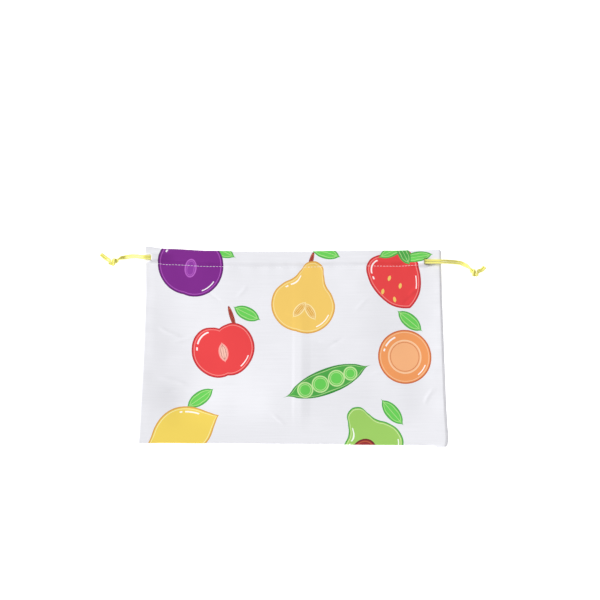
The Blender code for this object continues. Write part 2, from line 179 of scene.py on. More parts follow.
# %% [markdown]
# ## The drawcords
#
# Each cord is a round satin cord, 2.2 mm thick. It runs round the whole mouth inside the channel,
# and both its ends leave by one slit, lie side by side, and are tied together in an overhand knot
# with two short cut tails. The routes follow the part's own cords, moved by up to 3 mm to where the
# photograph shows them.

# %% Where each cord leaves its slit
SIDES = ("left", "right")
inward = {"left": 1, "right": -1}


def channel_top(across):
    return 2 * channel_thickness + mouth_gap(across)


def slit_place(side):
    """The outer end of a slit: the middle of its pair of strands, resting on the channel."""
    if side == "left":
        x = left_edge(bag_height / 2) + left_slit_inset
        lane = high_lane - lane_spacing / 2 - 0.0026
    else:
        x = right_edge(bag_height / 2) - right_slit_inset
        lane = low_lane + lane_spacing / 2 - 0.0013
    across = share_across(x)
    return Vector((x, stitch_line(across) + lane, channel_top(across) + slit_cord_height))


pair_routes = {
    "left": (
        (0.0000, 0.0000, 0.0117), (-0.0045, 0.0000, 0.0117), (-0.0090, 0.0003, 0.0115),
        (-0.0145, 0.0018, 0.0086), (-0.0195, 0.0031, 0.0048), (-0.0245, 0.0034, 0.0021),
        (-0.0295, 0.0025, 0.0012), (-0.0342, 0.0004, 0.0012),
    ),
    "right": (
        (0.0000, 0.0000, 0.0120), (0.0085, 0.0001, 0.0118), (0.0185, 0.0003, 0.0116),
        (0.0240, 0.0012, 0.0088), (0.0290, 0.0021, 0.0050), (0.0340, 0.0026, 0.0022),
        (0.0396, 0.0021, 0.0012), (0.0444, -0.0006, 0.0012), (0.0488, -0.0044, 0.0012),
    ),
}
tail_routes = {
    "left": ((-0.0436, -0.0014, 0.0022), (-0.0480, 0.0018, 0.0013), (-0.0530, 0.0060, 0.0012)),
    "right": ((0.0572, -0.0072, 0.0022), (0.0610, -0.0052, 0.0013), (0.0643, -0.0018, 0.0012)),
}
for side in SIDES:
    print(side, "slit at", [round(value * 1000, 1) for value in slit_place(side)], "mm")

# %% [markdown]
# A tube needs a smooth line to follow and a ring of points round it. The line is a Catmull-Rom
# curve, which passes through every chosen point. The rings keep a steady side, so the tube doesn't
# twist by itself.

# %% Lines that pass through chosen points
def smooth_line(points, spacing):
    """A curve through the points, with a point about every spacing."""
    points = np.array(points, float)
    ends = np.vstack([2 * points[0] - points[1], points, 2 * points[-1] - points[-2]])
    found = []
    for a, b, c, d in zip(ends, ends[1:], ends[2:], ends[3:]):
        count = max(2, round(float(np.linalg.norm(c - b)) / spacing))
        t = (np.arange(count) / count)[:, None]
        bend = (2 * a - 5 * b + 4 * c - d) * t**2 + (3 * b - a - 3 * c + d) * t**3
        found.append((2 * b + (c - a) * t + bend) / 2)
    return np.vstack([*found, points[-1:]])


def run_along(line):
    """The length from the line's start to each of its points."""
    return np.concatenate([[0.0], np.cumsum(np.linalg.norm(np.diff(line, axis=0), axis=1))])


def evenly(line, count):
    run = run_along(line)
    at = np.linspace(0, run[-1], count)
    return np.stack([np.interp(at, run, line[:, axis]) for axis in range(3)], axis=1)


def beside(line, distance):
    """The line moved level and sideways, to the left of its own direction."""
    ahead = np.gradient(line, axis=0)
    sideways = np.stack([-ahead[:, 1], ahead[:, 0], np.zeros(len(line))], axis=1)
    return line + sideways / np.linalg.norm(sideways, axis=1)[:, None] * distance


def steady_sides(line):
    """For each point, a direction square to the line that turns as little as it can."""
    ahead = np.gradient(line, axis=0)
    ahead /= np.linalg.norm(ahead, axis=1)[:, None]
    side = np.cross(ahead[0], (0.0, 0.0, 1.0))
    found = []
    for way in ahead:
        side = side - way * (side @ way)
        side = side / np.linalg.norm(side)
        found.append(side)
    return ahead, np.array(found)


# %% [markdown]
# An overhand knot in two strands is hard to draw by hand, so it is tied as it really is. Two ropes
# of beads start in a loose overhand loop. Then their ends are pulled apart a little at a time,
# while each bead keeps its distance from the next and no bead may enter another. What comes out is
# a tight knot, the same at every run.

# %% Tie a doubled overhand knot
knot_beads = 84
knot_pressed_radius = 0.66
knot_pulls = ((0.12, 700, 0.20), (0.06, 450, 0.10), (0.03, 250, 0.05))


def loose_overhand(count):
    """A long overhand loop, in mm. Its ends leave along x."""
    t = np.linspace(-2.2, 2.2, 400)
    line = np.stack([t**5 - 10 * t, 5.5 * (t**3 - 3 * t), 3.2 * (t**4 - 4 * t**2)], axis=1) * 0.42
    return evenly(line, count)


def pull_tight(strands, radius, spacing, pull, turns, stiffness):
    """Moves both ends of both strands apart, with beads that keep their spacing and don't overlap."""
    count = strands.shape[1]
    beads = strands.reshape(-1, 3).copy()
    strand = np.repeat([0, 1], count)
    place = np.tile(np.arange(count), 2)
    first, second = np.triu_indices(len(beads), 1)
    may_meet = (strand[first] != strand[second]) | (np.abs(place[first] - place[second]) > 3)
    first, second = first[may_meet], second[may_meet]
    rows = beads.reshape(2, count, 3)
    end_sides = np.array([[radius, 0.0], [-radius, 0.0]])
    for _ in range(turns):
        rows[:, 1:-1] += stiffness * ((rows[:, :-2] + rows[:, 2:]) / 2 - rows[:, 1:-1])
        rows[:, 0, 0] -= pull
        rows[:, -1, 0] += pull
        rows[:, 0, 1:] = end_sides
        rows[:, -1, 1:] = end_sides
        for _ in range(6):
            link = rows[:, 1:] - rows[:, :-1]
            size = np.linalg.norm(link, axis=2, keepdims=True)
            fix = link * (size - spacing) / size / 2
            rows[:, :-1] += fix
            rows[:, 1:] -= fix
            apart = beads[second] - beads[first]
            size = np.linalg.norm(apart, axis=1)
            hit = size < 2 * radius
            push = apart[hit] * ((2 * radius - size[hit]) / size[hit] / 4)[:, None]
            np.add.at(beads, first[hit], -push)
            np.add.at(beads, second[hit], push)
    return rows


def tied_knot():
    """The two strands of a tight knot as lines in mm, from the side they come in to the tails."""
    middle = loose_overhand(knot_beads)
    spacing = run_along(middle)[-1] / (knot_beads - 1)
    _, sides = steady_sides(middle)
    strands = np.stack([middle + knot_pressed_radius * sides, middle - knot_pressed_radius * sides])
    for pull, turns, stiffness in knot_pulls:
        strands = pull_tight(strands, knot_pressed_radius, spacing, pull, turns, stiffness)
    return strands


knot_lines = tied_knot()
knot_ends = 22
print("knot spans, mm:", np.ptp(knot_lines[:, knot_ends:-knot_ends].reshape(-1, 3), axis=0).round(1))

# %% [markdown]
# The knot is laid at the end of its pair of strands, half sunk to the table, with its tails on
# their own route. One line runs from the slit through the strand and the knot to the tail's cut
# end, so that nothing shows where one piece ends and the next starts. Resting cords press into the
# cloth a little, so they lie a bit lower there.

# %% One line for each strand, from its slit to the cut end of its tail
knot_ahead = 0.0051
knot_reach = 0.0056
knot_lean = {"left": math.radians(40), "right": math.radians(-40)}
knotted_radius = 0.00094
rise_to_knot = 0.008
cord_sink = 0.0009


def placed(side, route):
    slit = slit_place(side)
    return np.array([(slit.x + x, slit.y + y, z) for x, y, z in route])


def sunk(line):
    """Lower where the line is high on the bag, and unchanged on the table."""
    lower = line.copy()
    lower[:, 2] -= cord_sink * eased((line[:, 2] - cord_radius) / 0.0095)
    return lower


def leaning_knot(side):
    """The knot's two strands in metres, leaning to one side, with the lowest turn resting on z = 0."""
    lines = knot_lines / 1000
    if side == "right":
        lines = lines[::-1] * np.array([1.0, -1.0, 1.0])
    lean = knot_lean[side]
    turned = lines.copy()
    turned[..., 1] = lines[..., 1] * math.cos(lean) - lines[..., 2] * math.sin(lean)
    turned[..., 2] = lines[..., 1] * math.sin(lean) + lines[..., 2] * math.cos(lean)
    kept = [line[np.abs(line[:, 0]) < knot_reach] for line in turned]
    sink = min(line[:, 2].min() for line in kept) - knotted_radius
    return [line - (0, 0, sink) for line in kept]


def knot_on_table(side, end, forward):
    leftward = np.array([-forward[1], forward[0], 0.0])
    centre = np.array([end[0], end[1], 0.0]) + forward * knot_ahead
    return [
        centre + line[:, :1] * forward + line[:, 1:2] * leftward + line[:, 2:] * (0, 0, 1)
        for line in leaning_knot(side)
    ]


def strand_lines(side):
    """For each strand of a pair: its free length, its way through the knot, and its tail."""
    pair = smooth_line(placed(side, pair_routes[side]), 0.0006)
    run = run_along(pair)
    near_knot = eased((run - run[-1] + rise_to_knot) / rise_to_knot)
    entry_height = np.mean([line[0, 2] for line in leaning_knot(side)])
    pair = sunk(pair)
    pair[:, 2] = mixed(pair[:, 2], entry_height, near_knot)
    forward = pair[-1] - pair[-8]
    forward[2] = 0
    forward /= np.linalg.norm(forward)
    knot = knot_on_table(side, pair[-1], forward)
    tail = placed(side, tail_routes[side])
    found = {}
    away = -1 if side == "left" else 1
    for k, turned in enumerate((1, -1)):
        apart = mixed(lane_spacing / 2, cord_radius * 0.8, near_knot)
        free = beside(pair, turned * apart[:, None])
        tail_line = beside(tail, turned * cord_radius)
        joined = np.vstack([free[:-4:6], knot[k], tail_line])
        whole = smooth_line(joined, 0.0004)
        split = np.argmin(np.linalg.norm(whole - knot[k][0], axis=1))
        name = "upper" if turned == away else "lower"
        found[name] = (whole[: split + 1], whole[split:])
    return found


strands = {side: strand_lines(side) for side in SIDES}
for side in SIDES:
    for name, (free, rest) in strands[side].items():
        print(side, name, "free, mm:", round(run_along(free)[-1] * 1000, 1), end="  ")
        print("knot and tail, mm:", round(run_along(rest)[-1] * 1000, 1))

# %% [markdown]
# Inside the channel each cord lies in its own lane. It climbs to its slit at both ends, and at the
# far side of the bag it turns from the front of the channel to the back.

# %% The part of each cord that the channel holds
front_climb = 0.0066
back_climb = 0.0145


def climb(start, end, count):
    share = np.linspace(0, 1, count)[:, None]
    level = start[None] + (end - start)[None] * eased(share)
    level[:, 0] = mixed(start[0], end[0], share[:, 0])
    return level


def held_line(side):
    slit = np.array(slit_place(side))
    slit[2] -= cord_sink
    way = inward[side]
    lane = high_lane if side == "left" else low_lane
    far = 1 if side == "left" else 0
    edge = right_edge if side == "left" else left_edge
    turn_x = edge(stitch_line(far) + lane) - way * (seam_edge_width + 2 * fit_gap + cord_radius)

    def lane_place(x, front):
        across = share_across(x)
        under = (channel_thickness + mouth_gap(across)) * front
        return np.stack([x, stitch_line(across) + lane, under + lane_height], axis=-1)

    drop = (lane_place(np.array([turn_x]), 1)[0, 2] - lane_height) / 2
    centre_x = turn_x - way * drop
    front = lane_place(np.linspace(slit[0] + way * front_climb, centre_x, 120), 1)
    back = lane_place(np.linspace(centre_x, slit[0] + way * back_climb, 120), 0)
    angle = np.linspace(0, math.pi, 22)[1:-1]
    turn = np.stack([
        centre_x + way * drop * np.sin(angle),
        np.full(len(angle), front[-1, 1]),
        lane_height + drop * (1 + np.cos(angle)),
    ], axis=1)
    beside_slit = np.array([0.0, way * lane_spacing / 2, 0.0])
    up = climb(front[0], slit + beside_slit, 12)[::-1]
    down = climb(back[-1], slit - beside_slit, 18)
    return np.vstack([up[:-1], front, turn, back, down[1:]])


# %% [markdown]
# A satin cord is woven round a soft core, so its surface has fine slanting threads that catch the
# light. The tubes carry how far along and how far round each point is, and the cord's material
# draws the threads from that.

# %% Tubes that know their own length
cord_sides = 14
cap_rise = 0.3


def make_mesh(name, points, faces):
    mesh = bpy.data.meshes.new(name)
    mesh.from_pydata(points.tolist(), [], [list(face) for face in faces])
    mesh.validate()
    mesh.shade_smooth()
    made = bpy.data.objects.new(name, mesh)
    bpy.context.scene.collection.objects.link(made)
    return made


def tubes(name, lines, radii):
    """One mesh with a round tube along each line. Each tube is closed by a slightly domed cap."""
    points, faces, thread_place = [], [], []
    start = 0
    angle = np.arange(cord_sides) * 2 * math.pi / cord_sides
    for line, radius in zip(lines, radii):
        radius = np.broadcast_to(radius, len(line))[:, None]
        ahead, side = steady_sides(line)
        up = np.cross(ahead, side)
        ring = np.cos(angle)[None, :, None] * side[:, None] + np.sin(angle)[None, :, None] * up[:, None]
        ring = line[:, None] + radius[:, None] * ring
        run = run_along(line)
        count = len(line)
        first_tip = line[:1] - ahead[:1] * radius[0] * cap_rise
        last_tip = line[-1:] + ahead[-1:] * radius[-1] * cap_rise
        points += [ring.reshape(-1, 3), first_tip, last_tip]
        around = np.tile(np.cos(angle), count)
        other = np.tile(np.sin(angle), count)
        body = np.stack([np.repeat(run, cord_sides) * 1000, around, other], axis=1)
        thread_place += [body, [[0, 0, 0]], [[run[-1] * 1000, 0, 0]]]
        k = np.arange(cord_sides)
        nxt = (k + 1) % cord_sides
        for i in range(count - 1):
            a = start + i * cord_sides
            b = a + cord_sides
            faces += np.stack([a + k, b + k, b + nxt, a + nxt], axis=1).tolist()
        first_cap = start + count * cord_sides
        last = start + (count - 1) * cord_sides
        faces += np.stack([start + k, start + nxt, np.full(cord_sides, first_cap)], axis=1).tolist()
        faces += np.stack([last + nxt, last + k, np.full(cord_sides, first_cap + 1)], axis=1).tolist()
        start = first_cap + 2
    made = make_mesh(name, np.vstack(points), faces)
    kept = made.data.attributes.new("thread_place", "FLOAT_VECTOR", "POINT")
    kept.data.foreach_set("vector", np.vstack(thread_place).astype(np.float32).ravel())
    return made


thinning_length = 0.004
thickening_length = 0.005
tail_left_full = 0.006


def pulled_thin(line):
    """The radius along a knotted strand: soft cord is thinner where the knot pulls on it."""
    run = run_along(line)
    in_knot = eased(run / thinning_length) * eased((run[-1] - tail_left_full - run) / thickening_length)
    return mixed(cord_radius, knotted_radius, in_knot)


cord_pieces = {}
for side in SIDES:
    for name, (free, rest) in strands[side].items():
        piece = f"{side}_strand_{name}"
        cord_pieces[piece] = tubes(f"{piece}_satin", [free], [cord_radius])
    through = [rest for free, rest in strands[side].values()]
    pulled = [pulled_thin(line) for line in through]
    cord_pieces[f"{side}_knot"] = tubes(f"{side}_knot_satin", through, pulled)
    piece = f"{side}_cord_in_channel"
    cord_pieces[piece] = tubes(f"{piece}_satin", [held_line(side)], [cord_radius])
print(len(cord_pieces), "pieces of cord")

# %% [markdown]
# ## The cloth
#
# The whole bag is one sheet of cloth, so it is drawn as one grid. Its rows follow the cloth from
# the cut edge of the front hem, over the mouth, down the front, round the bottom fold, up the back,
# and over the mouth into the back hem. Its columns cross the bag and go on round each side seam
# into the allowance inside. Pieces are then cut from this one grid, so that they meet without a gap
# and the print runs on across them.

# %% Columns of the cloth
column_spacing = 0.00135
slit_spacing = 0.00055
slit_zone = 0.006
slit_y = 0.08
inner_width = bag_width - 2 * seam_edge_width


def across_columns():
    """Shares across the bag, closer together where the slits are."""
    even = np.linspace(0, 1, round(inner_width / column_spacing) + 1)
    found = even
    for side in SIDES:
        x = slit_place(side).x
        clear = right_edge(slit_y) - left_edge(slit_y) - 2 * seam_edge_width
        middle = (x - left_edge(slit_y) - seam_edge_width) / clear
        half = slit_zone / inner_width
        near = np.arange(-half, half, slit_spacing / inner_width) + middle
        near += middle - near[np.argmin(np.abs(near - middle))]
        found = found[np.abs(found - middle) > half + 0.4 * column_spacing / inner_width]
        found = np.concatenate([found, near[(near > 0) & (near < 1)]])
    return np.sort(found)


across = across_columns()
print(len(across), "columns between the seams")

# %% [markdown]
# The front is not flat: it swells over the folded seams, dips where it was pressed, and keeps the
# crease of its flat pack. Thin cloth also has small soft folds. They are built from smooth random
# hills of two sizes and from a few single wrinkles at places where the real bag has them.

# %% Relief of the front
# share across, share along, half width and half height as shares, rise as a share of the dent depth
dents = (
    (0.07, 0.70, 0.05, 0.16, -0.8), (0.12, 0.42, 0.09, 0.07, 0.7), (0.14, 0.22, 0.10, 0.08, -0.9),
    (0.30, 0.55, 0.10, 0.22, 0.8), (0.42, 0.15, 0.08, 0.12, 0.6), (0.63, 0.40, 0.07, 0.14, -0.7),
    (0.72, 0.72, 0.10, 0.16, 0.7), (0.84, 0.30, 0.08, 0.20, 0.6), (0.94, 0.86, 0.04, 0.07, -1.0),
)
crease_across = 0.527
crease_along = 0.545
crease_height = 0.00045
crease_half_width = 0.009
cross_crease_share = 0.35
pucker_height = 0.00009
side_pucker_height = 0.00012
pucker_reach = 7
sewn_length = 190
hill_seed = 7
hill_count = 64
big_hill, small_hill = 46, 17
random = np.random.default_rng(hill_seed)
hills = {size: random.uniform(-1, 1, (hill_count, hill_count)) for size in (big_hill, small_hill)}
big_height, small_height = 0.26, 0.11
wrinkle_share = 0.55

# start x, start y, end x, end y, half width, height: in mm from the middle of the bag
wrinkles = (
    (-141, 26, -112, 12, 2.2, 0.55), (-128, 8, -96, 16, 1.8, 0.45), (-139, -30, -104, -41, 2.4, 0.60),
    (-131, -48, -99, -44, 1.9, -0.45), (-120, -58, -92, -66, 1.8, 0.35), (24, 12, 48, 6, 1.9, 0.42),
    (30, 2, 56, 14, 1.7, -0.35), (119, 60, 134, 71, 1.9, 0.60), (112, 52, 127, 60, 1.8, -0.45),
    (132, -60, 146, -38, 2.0, 0.45), (96, -84, 118, -74, 1.9, 0.35), (-60, 58, -48, 76, 1.8, 0.35),
    (-24, -70, -6, -82, 1.8, 0.32), (64, 40, 78, 62, 1.8, 0.32), (-90, 70, -74, 52, 1.7, -0.30),
    (-52, -16, -30, -22, 1.7, 0.30), (76, -30, 100, -20, 1.8, 0.30), (-8, 44, 10, 36, 1.6, 0.28),
)


def cloud(x, y, size):
    """Smooth random hills between -1 and 1, about one to each size."""
    grid = hills[size]
    u, v = x / size + 31.3, y / size + 29.7
    i, j = np.floor(u).astype(int), np.floor(v).astype(int)
    a, b = eased(u - i), eased(v - j)
    i, j, i_next, j_next = (k % hill_count for k in (i, j, i + 1, j + 1))
    low = mixed(grid[i, j], grid[i_next, j], a)
    high = mixed(grid[i, j_next], grid[i_next, j_next], a)
    return mixed(low, high, b)


def wrinkle_relief(x, y):
    """The height of the small folds at places in mm, in metres."""
    height = big_height * cloud(x, y, big_hill)
    height = height + small_height * cloud(x + 5 * cloud(y, x, big_hill), y, small_hill)
    for x0, y0, x1, y1, half_width, rise in wrinkles:
        long = math.hypot(x1 - x0, y1 - y0)
        ahead = ((x - x0) * (x1 - x0) + (y - y0) * (y1 - y0)) / long / long
        off = ((x - x0) * (y1 - y0) - (y - y0) * (x1 - x0)) / long
        off = off + 1.4 * np.sin(ahead * 3.1 + x0)
        fade = eased(ahead / 0.35) * eased((1 - ahead) / 0.35)
        height = height + wrinkle_share * rise * fade * np.exp(-((off / half_width) ** 2))
    return height / 1000


# How high the front lies over its side edges: distance from the side and height, both in mm. On the
# left the folded allowance holds it up near the side and it sags a little beyond that. The crease
# stands highest.
crown_points = {
    "left": (
        (0, 0), (8, 0.0), (16, -0.3), (26, -0.8), (38, -1.2), (50, -1.1), (65, -0.3), (85, 1.0),
        (115, 2.9), (140, 4.1), (160, 4.7),
    ),
    "right": (
        (0, 0), (12, -0.2), (24, -0.1), (40, 0.5), (60, 1.5), (85, 2.8), (110, 3.8), (140, 4.5),
        (160, 4.7),
    ),
}
crown_lines = {side: smooth_line([(x, y, 0) for x, y in crown_points[side]], 0.5) for side in SIDES}


def crown(across):
    from_side = np.minimum(across, 1 - across) * bag_width * 1000
    left, right = (np.interp(from_side, line[:, 0], line[:, 1]) for line in crown_lines.values())
    return np.where(across < 0.5, left, right) / 1000


def front_height(across, along):
    """The top of the front panel, at shares of its width and of its height up to the stitches."""
    from_side = np.minimum(across, 1 - across) * bag_width
    side_rise = eased(from_side / crown_rise_length)
    bottom_rise = eased(along * bag_height / crown_rise_length)
    body = side_thickness + crown(across) * bottom_rise
    near_mouth = eased((along - mouth_slope_start) / (1 - mouth_slope_start))
    free = side_rise * bottom_rise * eased((1 - along) / calm_below_stitches)
    for at, up, half_width, half_height, rise in dents:
        off = ((across - at) / half_width) ** 2 + ((along - up) / half_height) ** 2
        body = body + dent_depth * rise * free * np.exp(-off)
    for off, height in (
        (np.abs(across - crease_across) * bag_width, crease_height * bottom_rise),
        (np.abs(along - crease_along) * bag_height, cross_crease_share * crease_height * side_rise),
    ):
        body = body + height * np.maximum(0, 1 - off / crease_half_width)
    sewn = channel_thickness + mouth_gap(across) + hem_thickness
    x, y = (across - 0.5) * bag_width * 1000, (along - 0.5) * sewn_length
    calm = eased(along / 0.06) * eased((1 - along) / 0.05) * eased(from_side / 0.010)
    pucker = np.sin(x / 2.9 + 2.2 * np.sin(x / 23)) * np.exp(-(1 - along) * sewn_length / pucker_reach)
    side_pucker = np.sin(y / 3.3 + 2.0 * np.sin(y / 19)) * np.exp(-from_side * 1000 / pucker_reach)
    small = wrinkle_relief(x, y) * calm + pucker_height * pucker
    small = small + side_pucker_height * side_pucker * eased(along / 0.1)
    return mixed(body, sewn, near_mouth) + small


# %% [markdown]
# At the mouth the cloth makes two soft tubes, one on the front and one on the back. Seen from the
# side each is flat with a round fold. The curve of that fold is a superellipse: fuller than a
# circle, as an empty hem is.

# %% Rows of the cloth, section by section
cloth_thickness = 0.00028
hem_tail = 0.003
fold_length = 0.005
fold_fullness = 2.5
channel_half = channel_thickness / 2
fold_start = channel_depth - fold_length
back_fold_height = 0.0016
sewn_gap = 0.00075
channel_step_count = 21
fold_angle_count = 17
row_spacing = 0.0013
back_row_count = 76
ripple_height = 0.0004
back_hem_edge_height = 0.0011


def channel_swell(d):
    """From 0 at the stitches to 1 where the channel has its full height."""
    return eased(d / (0.29 * channel_depth))


def fold_curve(angle):
    """How far along and how high the fold's curve is, both from 0 to 1, at an angle from 0 to 180 degrees."""
    power = 2 / fold_fullness
    out = np.abs(np.sin(angle)) ** power
    up = np.sign(np.cos(angle)) * np.abs(np.cos(angle)) ** power
    return out, up


def panel_place(along):
    low = bottom_edge(across) + fold_reach
    return mixed(low, stitch_line(across), along)


def channel_row(d, height):
    return stitch_line(across) + d, height


def tube_puckers(d):
    """The hem is drawn up a little by its stitches."""
    x = (across - 0.5) * bag_width * 1000
    wave = np.sin(x / 2.9 + 2.2 * np.sin(x / 23)) * math.exp(-max(d, 0) * 1000 / 3.5)
    soft = 0.00030 * cloud(x, x * 0 + d * 1000, small_hill) * eased(d / 0.008) / 2
    return pucker_height * wave + soft


front_middle = channel_thickness + mouth_gap(across) + channel_half
sewn_height = hem_thickness - channel_half
rows = []


def front_hem_low(d):
    return front_middle + mixed(sewn_height - sewn_gap, -channel_half, channel_swell(d))


def add_row(section, y, z):
    rows.append((section, y, z))


channel_steps = np.linspace(0, fold_start, channel_step_count)
fold_angles = np.linspace(0, math.pi, fold_angle_count)
panel_low_length = bag_height - channel_depth - fold_reach
panel_steps = round(panel_low_length / row_spacing)

hem_edges = (-hem_tail, -hem_tail / 2)
for d in hem_edges:
    y = stitch_line(across) + d
    along = (y - panel_place(0)) / (panel_place(1) - panel_place(0))
    add_row("front_channel", y, front_height(across, along) - sewn_gap)
for d in channel_steps[:-1]:
    add_row("front_channel", *channel_row(d, front_hem_low(d)))
for angle in fold_angles[::-1]:
    out, up = fold_curve(angle)
    puckers = tube_puckers(fold_start + fold_length * out) * max(up, 0)
    z = front_middle + channel_half * up + puckers
    add_row("front_channel", *channel_row(fold_start + fold_length * out, z))
for d in channel_steps[-2::-1]:
    top = front_middle + mixed(sewn_height, channel_half, channel_swell(d)) + tube_puckers(d)
    add_row("front_channel" if d > 0 else "front_stitches", *channel_row(d, top))
for along in np.linspace(1, 0, panel_steps + 1)[1:]:
    add_row("front_panel", panel_place(along), front_height(across, along))
fold_radius = side_thickness / 2
for reach in (0.66, 0.33):
    y = bottom_edge(across) + mixed(fold_radius, fold_reach, reach)
    add_row("bottom_fold", y, 2 * fold_radius + 0 * across)
for angle in fold_angles:
    y = bottom_edge(across) + fold_radius * (1 - math.sin(angle))
    add_row("bottom_fold", y, fold_radius * (1 + math.cos(angle)) + 0 * across)
for reach in (0.33, 0.66, 1):
    add_row("bottom_fold", bottom_edge(across) + mixed(fold_radius, fold_reach, reach), 0 * across)
for along in np.linspace(0, 1, back_row_count)[1:]:
    x = (across - 0.5) * bag_width * 1000
    from_side = np.minimum(across, 1 - across) * bag_width
    calm = eased(along / 0.08) * eased((1 - along) / 0.08) * eased(from_side / 0.02)
    ripple = ripple_height * np.maximum(0, cloud(x, 0 * x + along * 180 + 300, big_hill) - 0.1) * calm
    add_row("back_panel", panel_place(along), ripple)
for d in channel_steps[1:-1:2]:
    add_row("back_channel", *channel_row(d, 0 * across))
for angle in fold_angles:
    out, up = fold_curve(angle)
    if up > 0:
        z = back_fold_height * (1 - up)
    else:
        z = mixed(back_fold_height, channel_thickness, -up)
    add_row("back_channel", *channel_row(fold_start + fold_length * out, z + 0 * across))
inner_back_steps = channel_steps[-3::-2]
for d in inner_back_steps:
    z = mixed(hem_thickness, channel_thickness, channel_swell(d))
    add_row("back_channel", *channel_row(d, z + 0 * across))
add_row("back_channel", *channel_row(-hem_tail, back_hem_edge_height + 0 * across))

sections = np.array([row[0] for row in rows])
row_y = np.array([row[1] for row in rows])
row_z = np.array([row[2] for row in rows])
clear_left = left_edge(row_y) + seam_edge_width
clear_right = right_edge(row_y) - seam_edge_width
row_x = mixed(clear_left, clear_right, across[None])
main = np.stack([row_x, row_y, row_z], axis=2)
half_fold = fold_angle_count // 2
inner_front_rows = len(hem_edges) + channel_step_count - 1 + half_fold
inner_back_rows = len(inner_back_steps) + 1 + half_fold
print("rows and columns:", main.shape[:2])

# %% [markdown]
# Near the slits the cords lift the inner lip of the cloth and press the outer part down. The cloth
# is cut there for a few rows, along one column, so that the lip stands over the cords as it does on
# the real bag.

# %% Lift the lips of the slits and press the cloth under the cords
lip_rise = 0.0021
lip_fade = 0.024
cord_press = 0.0009
pair_half_width = 0.0021
cut_half_length = 0.0034
pair_fade = 0.0036
end_start = 0.0022
end_fade = 0.0012
outer_lip_fade = 0.008
rows_past_fold = 6


def across_pair(off):
    """1 over the pair of cords, and 0 a little beside them."""
    return 1 - eased((np.abs(off) - pair_half_width) / pair_fade)


front_top = np.zeros(len(rows), bool)
front_top[inner_front_rows:] = True
front_top &= (sections == "front_channel") | (sections == "front_stitches")
top_row = inner_front_rows + half_fold + rows_past_fold
slit_cuts = {}
for side in SIDES:
    slit = slit_place(side)
    way = inward[side]
    x, y = main[..., 0], main[..., 1]
    s = (x - slit.x) * way
    off = y - slit.y
    lip_column = int(np.argmin(np.abs(s[top_row])))
    cut_rows = np.nonzero(front_top & (np.abs(off[:, lip_column]) < cut_half_length))[0]
    swell = channel_swell(y - stitch_line(across)[None])
    lip = (lip_rise + (1 - swell) * (channel_half - sewn_height)) * across_pair(off)
    lift = lip * (1 - eased(s / lip_fade))
    at_end = eased((np.abs(off) - end_start) / end_fade)
    outer = mixed(-cord_press * across_pair(off), lip * (1 - eased(-s / outer_lip_fade)), at_end)
    inner_side = (np.arange(len(across))[None] - lip_column) * way >= 0
    change = np.where(inner_side, lift, outer) * front_top[:, None]
    outer_lip = main[cut_rows, lip_column].copy()
    outer_lip[:, 2] -= cord_press * across_pair(off[cut_rows, lip_column])
    main[..., 2] += change
    slit_cuts[side] = (cut_rows, lip_column, outer_lip)
    print(side, "slit: column", lip_column, "rows", cut_rows[0], "to", cut_rows[-1])

# %% [markdown]
# At a side the front and the back cloth come together in a rolled edge about 3 mm wide. There the
# cloth turns sharply inward, and its sewn allowance lies flat inside the bag. The rolled edge is
# rounded off at both ends.

# %% Wrap the grid round the side seams
bead_angles = np.radians([10, 20, 31, 43, 55, 66, 76, 84, 90])
inner_layer_clear = 0.0008
seam_gap = 0.00022
allowance_steps = np.array([0.12, 0.4, 0.7, 1.0])
corner_round = 0.0026
least_width = 0.12
groove_depth = 0.00022
groove_angle = 20
allowance_clear = 0.00006
mouth_allowance_reach = 0.0033
front_side = np.isin(sections, ("front_channel", "front_stitches", "front_panel"))
front_side |= (sections == "bottom_fold") & (row_z[:, 0] >= fold_radius)
inside_layer = np.zeros(len(rows), bool)
inside_layer[:inner_front_rows] = True
inside_layer[-inner_back_rows:] = True


def seam_columns(side):
    """The points that go on from the main grid round one side seam, from the panel outwards."""
    edge_column = 0 if side == "left" else -1
    way = inward[side]
    edge = left_edge if side == "left" else right_edge
    start = main[:, edge_column]
    y = start[:, 1]
    order = np.nonzero(front_side & ~inside_layer)[0][::-1]
    top = np.interp(y, y[order], start[order, 2])
    far = 0 if side == "left" else 1
    bottom, mouth = bottom_edge(far), mouth_edge(far)
    middle = top / 2
    near_end = np.minimum(y - bottom, mouth - y)
    rounding = 1 - (1 - np.clip(near_end / corner_round, 0, 1)) ** 2
    width = np.sqrt(np.clip(rounding, least_width, 1))
    wide = (seam_edge_width - inner_layer_clear * inside_layer) * width
    sign = np.where(front_side, 1.0, -1.0)
    gap = np.minimum(seam_gap, np.abs(start[:, 2] - middle))
    target = middle + sign * gap
    found = []
    for angle in bead_angles:
        x = start[:, 0] - way * wide * math.sin(angle)
        z = target + (start[:, 2] - target) * math.cos(angle)
        off_groove = math.degrees(angle) - groove_angle
        groove = groove_depth * math.exp(-(off_groove**2) / 150) * ~inside_layer
        found.append(np.stack([x, y, z - sign * groove * width], axis=1))
    stitched = stitch_line(far)
    below_hem = eased((stitched - 0.002 - y) / 0.004)
    inner_reach = mixed(mouth_allowance_reach, seam_edge_width + seam_allowance, below_hem)
    turn_x = start[:, 0] - way * wide
    tip_x = edge(y) + way * inner_reach
    for share in allowance_steps:
        x = mixed(turn_x, tip_x, share)
        found.append(np.stack([x, y, target + sign * allowance_clear * share], axis=1))
    return np.stack(found, axis=1)


left_columns = seam_columns("left")[:, ::-1]
right_columns = seam_columns("right")
cloth = np.concatenate([left_columns, main, right_columns], axis=1)
seam_count = left_columns.shape[1]
print("whole cloth:", cloth.shape[:2], "points")

